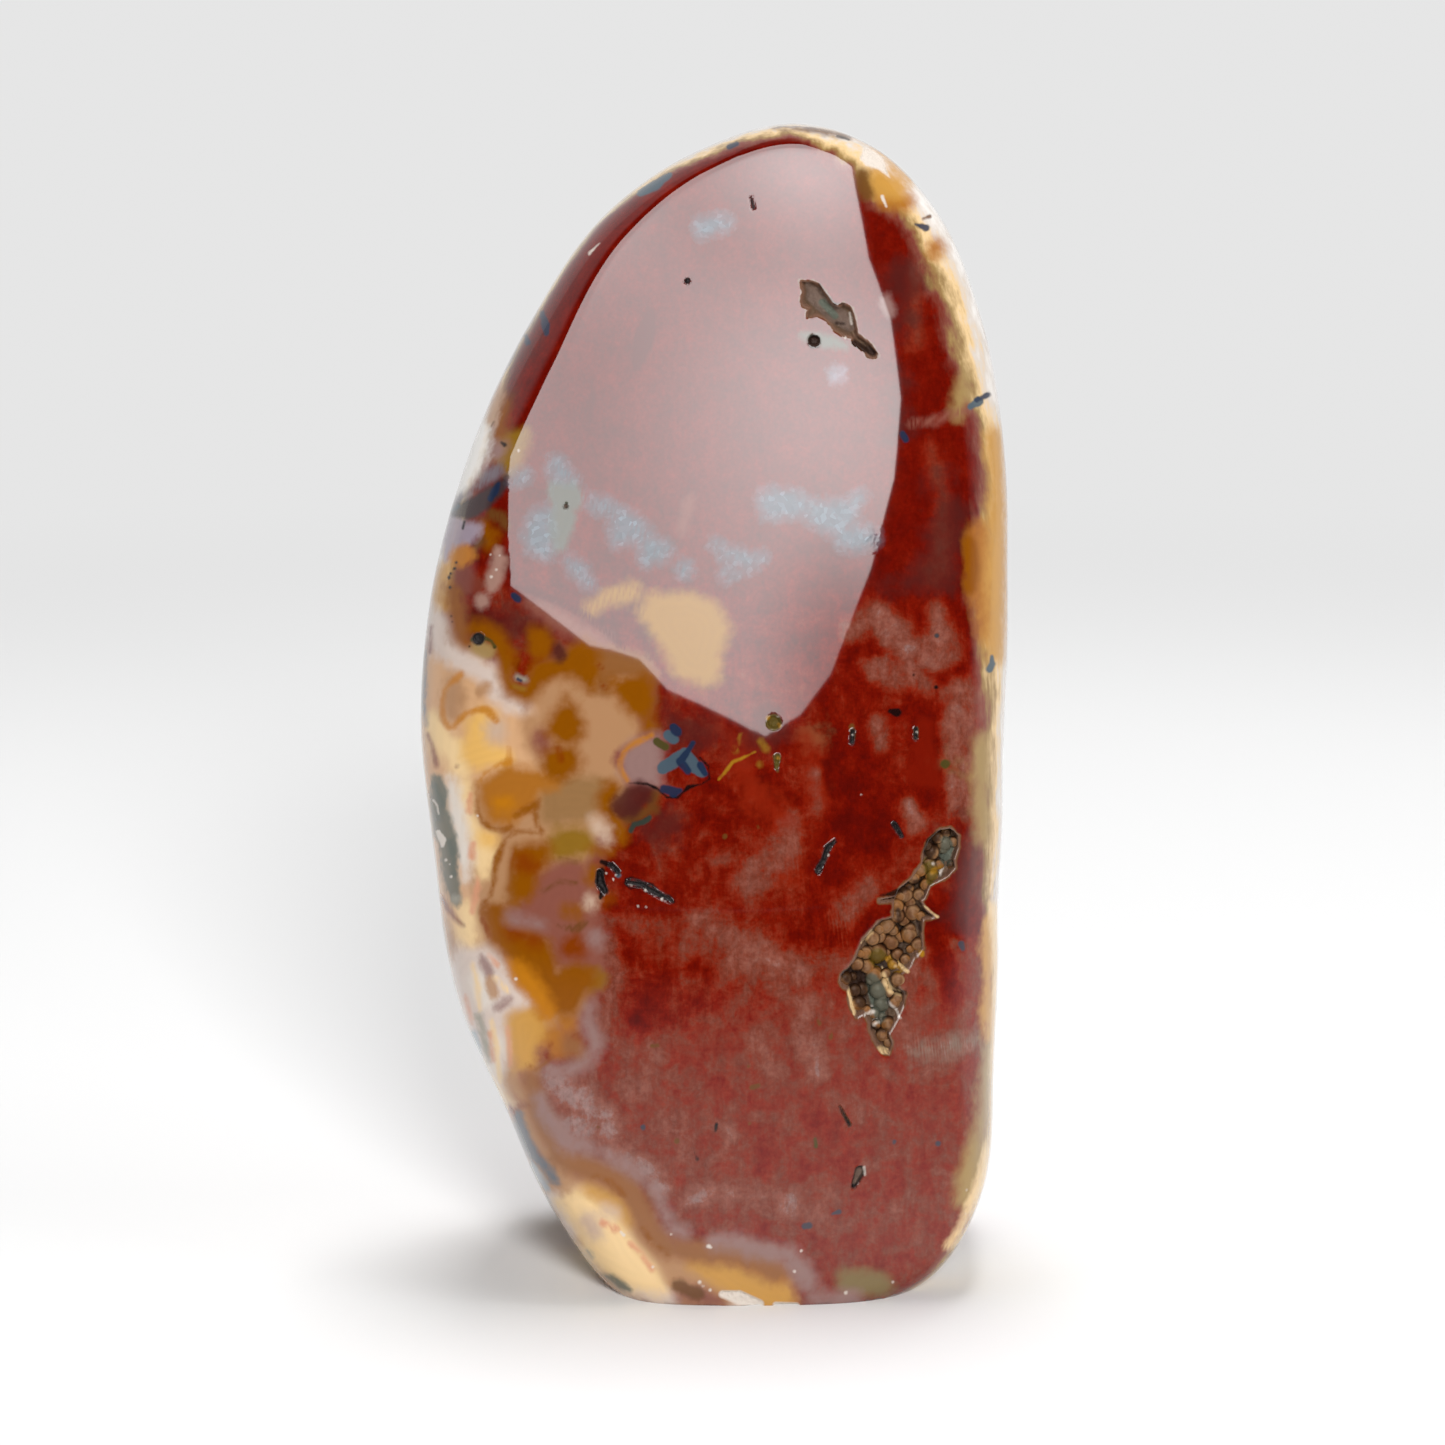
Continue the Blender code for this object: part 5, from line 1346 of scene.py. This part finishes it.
for material in (jasper, sawn_jasper, broken_jasper):
    stone_mesh.materials.append(material)
stone = put("polished_stone", stone_mesh)
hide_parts("stone")
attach(stone, "root")

# Crust: small round beads of chalcedony that grew out from the wall of the larger hollow, side by side
# and partly into one another. They are glassy, taupe to olive, and were never ground or polished.
BIG_BEADS = [
    (23.3, 46.3, 1.1), (24.3, 44.2, 1.15), (21.0, 42.5, 1.0), (23.9, 41.4, 1.15), (21.8, 40.2, 1.0),
    (18.5, 39.2, 0.9), (20.0, 39.1, 1.3), (28.2, 52.5, 1.1), (26.4, 49.5, 1.1), (20.6, 29.2, 0.95),
    (19.5, 36.3, 1.1), (20.0, 34.4, 1.2), (20.4, 32.6, 1.0), (22.4, 36.3, 1.0), (22.2, 33.2, 0.8),
]
BEAD_PITCH = 1.15
BEAD_WIDTH = 0.9
BEAD_SMALLEST = 0.6
BEAD_LARGEST = 1.15
BEAD_SIDES = 3
BEAD_SEED = 7
BEAD_DENSITY = 4.0e6
FLOOR_FROM_LIP = 0.25
floor_work = bmesh.new()
floor_work.from_mesh(stone_mesh)
loose = [vert for vert, away in zip(floor_work.verts, lower_away) if away >= -FLOOR_FROM_LIP]
bmesh.ops.delete(floor_work, geom=loose, context="VERTS")
radius_layer = floor_work.verts.layers.float.new("bead_radius")
for bead_across, bead_up, bead_radius in BIG_BEADS:
    spot = np.argmin(np.hypot(across - bead_across, up - bead_up) + 100 * behind)
    grown = floor_work.verts.new(Vector(points[spot]) * MM)
    grown[radius_layer] = bead_radius * MM
bed = bpy.data.meshes.new("hollow_floor")
floor_work.to_mesh(bed)
floor_work.free()
for name in [attribute.name for attribute in bed.attributes if attribute.name.startswith("lip_")]:
    bed.attributes.remove(bed.attributes[name])

# Painted shade and highlight: creases between the beads are painted dark, and each bead a paler ring round
# its top
BEAD_CLOUDS = 2.2
BEAD_FROST = 0.25
BEAD_FROST_DEPTH = 0.03
BEAD_ROUGHNESS = 0.38
BEAD_GLOSS = 0.12
beads_material, tree = new_material("glassy_chalcedony_beads")
body = add(tree, "ShaderNodeTexCoord").outputs["Object"]
clouds = add(tree, "ShaderNodeTexNoise", {"Vector": body, "Scale": 1 / MM / BEAD_CLOUDS, "Detail": 4.0})
facing = add(tree, "ShaderNodeAttribute", attribute_name="facing").outputs["Fac"]
swirl = add(tree, "ShaderNodeMath", {0: clouds, 1: 0.5}, operation="SUBTRACT")
facing = add(tree, "ShaderNodeMath", {0: swirl, 1: 0.35, 2: facing}, operation="MULTIPLY_ADD")
bead_tones_and_painted_shade = [
    (0.25, linear("#2c1c12")),
    (0.52, linear("#5c402a")),
    (0.74, linear("#8a6848")),
    (0.88, linear("#74543a")),
    (0.97, linear("#7c5c42")),
]
tone = add(tree, "ShaderNodeValToRGB", {"Fac": facing}, bead_tones_and_painted_shade)
bead_tints = [(0.4, linear("#d8c4b4")), (0.5, linear("#ffffff")), (0.6, linear("#ffe8c0"))]
tint = add(tree, "ShaderNodeValToRGB", {"Fac": clouds}, bead_tints)
tone = add(tree, "ShaderNodeVectorMath", {0: tone, 1: tint}, operation="MULTIPLY")
ripple = add(tree, "ShaderNodeTexNoise", {"Vector": body, "Scale": 1 / MM / SWAY_FINE, "Detail": 3.0})
# The lip marks lay painted shade and painted glints over the beads too
tone = lay_marks(tree, tone, "lip", HOLLOW_MARKS, 0.25, [(ripple, 0.15)], 0.85)
frost = add(tree, "ShaderNodeTexNoise", {"Vector": body, "Scale": 1 / MM / BEAD_FROST, "Detail": 2.0})
bump = add(tree, "ShaderNodeBump", {"Height": frost, "Distance": BEAD_FROST_DEPTH * MM})
gloss = {"Roughness": BEAD_ROUGHNESS, "Specular IOR Level": BEAD_GLOSS}
shader = add(tree, "ShaderNodeBsdfPrincipled", {"Base Color": tone, "Normal": bump, **gloss})
add(tree, "ShaderNodeOutputMaterial", {"Surface": shader})

# The beads grow on the hollow's floor: small ones strewn over it, large ones where the photo shows them
grow = bpy.data.node_groups.new("grow_beads", "GeometryNodeTree")
panel = grow.interface
panel.new_socket("Geometry", in_out="INPUT", socket_type="NodeSocketGeometry")
pitch_input = panel.new_socket("Bead pitch", in_out="INPUT", socket_type="NodeSocketFloat")
width_input = panel.new_socket("Bead radius", in_out="INPUT", socket_type="NodeSocketFloat")
seed_input = panel.new_socket("Seed", in_out="INPUT", socket_type="NodeSocketInt")
panel.new_socket("Geometry", in_out="OUTPUT", socket_type="NodeSocketGeometry")
floor, pitch, width, seed = add(grow, "NodeGroupInput").outputs[:4]
strewn = {"Mesh": floor, "Distance Min": pitch, "Seed": seed}
strewn = add(grow, "GeometryNodeDistributePointsOnFaces", strewn, distribute_method="POISSON")
strewn.inputs["Density Max"].default_value = BEAD_DENSITY
bead = add(grow, "GeometryNodeMeshIcoSphere", {"Radius": 1.0, "Subdivisions": BEAD_SIDES})
size = {2: BEAD_SMALLEST, 3: BEAD_LARGEST, "Seed": seed}
size = add(grow, "FunctionNodeRandomValue", size, data_type="FLOAT").outputs[1]
size = add(grow, "ShaderNodeMath", {0: size, 1: width}, operation="MULTIPLY")
named = add(grow, "GeometryNodeInputNamedAttribute", {"Name": "bead_radius"}, data_type="FLOAT")
is_big = {0: named, 1: 0.1 * MM}
is_big = add(grow, "FunctionNodeCompare", is_big, data_type="FLOAT", operation="GREATER_THAN")
spots = add(grow, "GeometryNodeMeshToPoints", {"Mesh": floor, "Selection": is_big})
both = add(grow, "GeometryNodeJoinGeometry")
for places, scale in ((strewn, size), (spots, named)):
    beads = {"Points": places, "Instance": bead, "Scale": scale}
    beads = add(grow, "GeometryNodeInstanceOnPoints", beads)
    grow.links.new(beads.outputs[0], both.inputs[0])
real = add(grow, "GeometryNodeRealizeInstances", {0: both})
smooth = add(grow, "GeometryNodeSetShadeSmooth", {0: real})
painted = add(grow, "GeometryNodeSetMaterial", {0: smooth, "Material": beads_material})
add(grow, "NodeGroupOutput", {0: painted})

grower = put("bead_grower", bed)
growth = grower.modifiers.new("grow", "NODES")
growth.node_group = grow
growth[pitch_input.identifier] = BEAD_PITCH * MM
growth[width_input.identifier] = BEAD_WIDTH * MM
growth[seed_input.identifier] = BEAD_SEED
evaluated = grower.evaluated_get(bpy.context.evaluated_depsgraph_get())
crust_mesh = bpy.data.meshes.new_from_object(evaluated)
crust_mesh.name = "vug_beads"
bead_across, bead_up = as_seen(read_all(crust_mesh.vertices, "co", 3) / MM)
for colour_name, marks in HOLLOW_MARKS.items():
    keep_field(crust_mesh, f"lip_{colour_name}", marks_distance(marks, bead_across, bead_up))
# How far each point of the beads faces the front, which their material turns into painted shade
keep_field(crust_mesh, "facing", -read_all(crust_mesh.vertices, "normal", 3)[:, 1])
bpy.data.objects.remove(grower, do_unlink=True)
crust = put("vug_beads", crust_mesh)
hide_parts("vug_crust")
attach(crust, "root")

# Table and backdrop: one wide sheet of white paper, lit white near the stone and grey further off
HALF_TABLE = 9.0
PAPER_WHITE = 0.82
BACKGROUND_GREY = 0.79
FADE_START = 0.30
FADE_END = 0.62
WORLD_STRENGTH = 0.14
floor_mesh = bpy.data.meshes.new("table")
corners = [(a * HALF_TABLE, b * HALF_TABLE, 0) for a, b in ((-1, -1), (1, -1), (1, 1), (-1, 1))]
floor_mesh.from_pydata(corners, [], [(0, 1, 2, 3)])
floor = put("table", floor_mesh)
paper, tree = new_material("white_paper_sweep")
spot = add(tree, "ShaderNodeTexCoord").outputs["Object"]
distance = add(tree, "ShaderNodeVectorMath", {0: spot}, operation="LENGTH").outputs["Value"]
fade = {"Value": distance, "From Min": FADE_START, "From Max": FADE_END}
fade = add(tree, "ShaderNodeMapRange", fade, interpolation_type="SMOOTHSTEP")
grey = (BACKGROUND_GREY, BACKGROUND_GREY, BACKGROUND_GREY, 1)
white = add(tree, "ShaderNodeBsdfDiffuse", {"Color": (PAPER_WHITE, PAPER_WHITE, PAPER_WHITE, 1)})
far_off = add(tree, "ShaderNodeEmission", {"Color": grey})
mixed = add(tree, "ShaderNodeMixShader", {0: fade, 1: white, 2: far_off})
add(tree, "ShaderNodeOutputMaterial", {"Surface": mixed})
floor_mesh.materials.append(paper)

world = bpy.data.worlds.new("pale_room")
bpy.context.scene.world = world
world.use_nodes = True
world.node_tree.nodes.clear()
glow = add(world.node_tree, "ShaderNodeBackground", {"Color": grey, "Strength": WORLD_STRENGTH})
add(world.node_tree, "ShaderNodeOutputWorld", {"Surface": glow})


def only_reflected(name, corners, faces):
    """A board that shows in the polished stone and nowhere else, and the node tree of its surface."""
    mesh = bpy.data.meshes.new(name)
    mesh.from_pydata([Vector(corner) * MM for corner in corners], [], faces)
    made_board = put(name, mesh)
    surface, surface_tree = new_material(name + "_surface")
    mesh.materials.append(surface)
    made_board.visible_camera = False
    made_board.visible_diffuse = False
    made_board.visible_shadow = False
    made_board.visible_transmission = False
    return surface_tree


# Softbox: a lit cloth panel in front of the stone, whose outline the polished face shows
SOFTBOX_Y = -500.0
SOFTBOX_STRENGTH = 5.9
# Where the cloth is brighter or darker: across, up and reach in metres, and how much is added there
SOFTBOX_GLOWS = [
    (0.13, 0.41, 0.33, 3.6), (-0.15, 0.66, 0.24, 1.6), (0.14, 0.78, 0.24, 5.0), (0.15, 0.18, 0.14, -3.6),
]
SOFTBOX = [
    (206, 743), (209, 605), (229, 513), (231, 412), (213, 328), (177, 249), (125, 173), (89, 147),
    (49, 134), (-24, 154), (-61, 163), (-94, 183), (-126, 189), (-153, 192), (-257, 237), (-263, 262),
    (-302, 296), (-451, 384), (-933, 652), (-257, 1469), (206, 1469),
]
tree = only_reflected("softbox", [(x, SOFTBOX_Y, z) for x, z in SOFTBOX], [range(len(SOFTBOX))])
place = add(tree, "ShaderNodeTexCoord").outputs["Object"]
strength = SOFTBOX_STRENGTH
for glow_x, glow_z, reach, extra in SOFTBOX_GLOWS:
    middle = (glow_x, SOFTBOX_Y * MM, glow_z)
    away = add(tree, "ShaderNodeVectorMath", {0: place, 1: middle}, operation="DISTANCE").outputs["Value"]
    lit = {"Value": away, "From Min": reach, "From Max": 0.0, "To Max": extra}
    lit = add(tree, "ShaderNodeMapRange", lit, interpolation_type="SMOOTHSTEP")
    strength = add(tree, "ShaderNodeMath", {0: strength, 1: lit}, operation="ADD")
glow = add(tree, "ShaderNodeEmission", {"Color": (1, 1, 1, 1), "Strength": strength})
add(tree, "ShaderNodeOutputMaterial", {"Surface": glow})

# Room: dark around the front of the stone and pale behind it, as the stone's edges mirror it. Bearings
# are taken from straight ahead of the stone, in degrees.
ROOM_RADIUS = 2500.0
ROOM_SIDE = 120
ROOM_TOP = 80
ROOM_STEP = 8
PALE_WALL = 0.55
PALE_WALL_START = radians(68)
PALE_WALL_FULL = radians(88)


def dome(name, first, last):
    """Part of a dome round the stone between two bearings, and the node tree of its surface."""
    turns = [radians(a) for a in range(first, last, ROOM_STEP)]
    rises = [radians(a) for a in range(0, ROOM_TOP + 1, ROOM_STEP)]
    row = len(turns)
    corners = [(sin(a) * cos(b), -cos(a) * cos(b), sin(b)) for b in rises for a in turns]
    faces = [
        (i + j * row, i + 1 + j * row, i + 1 + (j + 1) * row, i + (j + 1) * row)
        for j in range(len(rises) - 1)
        for i in range(row - 1)
    ]
    return only_reflected(name, [ROOM_RADIUS * Vector(corner) for corner in corners], faces)


# The dark part has a pale wall on each side
tree = dome("dark_room", -ROOM_SIDE, ROOM_SIDE + 1)
spot = add(tree, "ShaderNodeTexCoord").outputs["Object"]
spot = add(tree, "ShaderNodeSeparateXYZ", {0: spot})
ahead = add(tree, "ShaderNodeMath", {0: spot.outputs["Y"], 1: -1.0}, operation="MULTIPLY")
bearing = add(tree, "ShaderNodeMath", {0: spot.outputs["X"], 1: ahead}, operation="ARCTAN2")
bearing = add(tree, "ShaderNodeMath", {0: bearing}, operation="ABSOLUTE")
wall = {"Value": bearing, "From Min": PALE_WALL_START, "From Max": PALE_WALL_FULL, "To Max": PALE_WALL}
wall = add(tree, "ShaderNodeMapRange", wall, interpolation_type="SMOOTHSTEP")
glow = add(tree, "ShaderNodeEmission", {"Color": (1, 1, 1, 1), "Strength": wall})
add(tree, "ShaderNodeOutputMaterial", {"Surface": glow})
tree = dome("pale_surround", ROOM_SIDE, 361 - ROOM_SIDE)
glow = add(tree, "ShaderNodeEmission", {"Color": grey})
add(tree, "ShaderNodeOutputMaterial", {"Surface": glow})

# The table's far front half lies in the dark room, so its reflection fades out upwards in the stone
DARK_SIDE = 2400
DARK_START = -30
DARK_LIFT = 0.4
DARK_REACH = 0.65
DARK_SHARES = ((0.05, 0.0), (0.14, 0.3), (0.32, 0.55), (0.55, 0.82), (1.0, 1.0))
corners = [(-DARK_SIDE, -DARK_SIDE, DARK_LIFT), (DARK_SIDE, -DARK_SIDE, DARK_LIFT)]
corners += [(DARK_SIDE, DARK_START, DARK_LIFT), (-DARK_SIDE, DARK_START, DARK_LIFT)]
tree = only_reflected("dark_table", corners, [(0, 1, 2, 3)])
spot = add(tree, "ShaderNodeTexCoord").outputs["Object"]
ahead = add(tree, "ShaderNodeSeparateXYZ", {0: spot}).outputs["Y"]
ahead = add(tree, "ShaderNodeMath", {0: ahead, 1: -1 / DARK_REACH}, operation="MULTIPLY")
dark = [(position, (share, share, share, 1)) for position, share in DARK_SHARES]
dark = add(tree, "ShaderNodeValToRGB", {"Fac": ahead}, dark)
clear = add(tree, "ShaderNodeBsdfTransparent")
black = add(tree, "ShaderNodeEmission", {"Strength": 0.0})
mixed = add(tree, "ShaderNodeMixShader", {0: dark, 1: clear, 2: black})
add(tree, "ShaderNodeOutputMaterial", {"Surface": mixed})

# Lights: a softbox in front on the right, whose soft shadow runs back to the left, one overhead that
# darkens the table close around the foot, and a weak fill on each side. Place and width in metres, watts.
LIGHTS = {
    "front_light": ((0.27, -1.25, 0.69), 0.4, 17.6),
    "top_light": ((0.04, 0.25, 1.08), 0.4, 8.5),
    "left_fill": ((-1.1, -0.3, 0.3), 0.5, 2.6),
    "right_fill": ((1.1, -0.25, 0.4), 0.5, 3.6),
}
AIMED_AT = Vector((0, 0, 0.05))
for name, (place, width, energy) in LIGHTS.items():
    lamp_data = bpy.data.lights.new(name, "AREA")
    lamp_data.size = width
    lamp_data.energy = energy
    lamp = put(name, lamp_data)
    lamp.location = place
    lamp.rotation_euler = (AIMED_AT - lamp.location).to_track_quat("-Z", "Y").to_euler()
    lamp.visible_glossy = False
    lamp.visible_camera = False
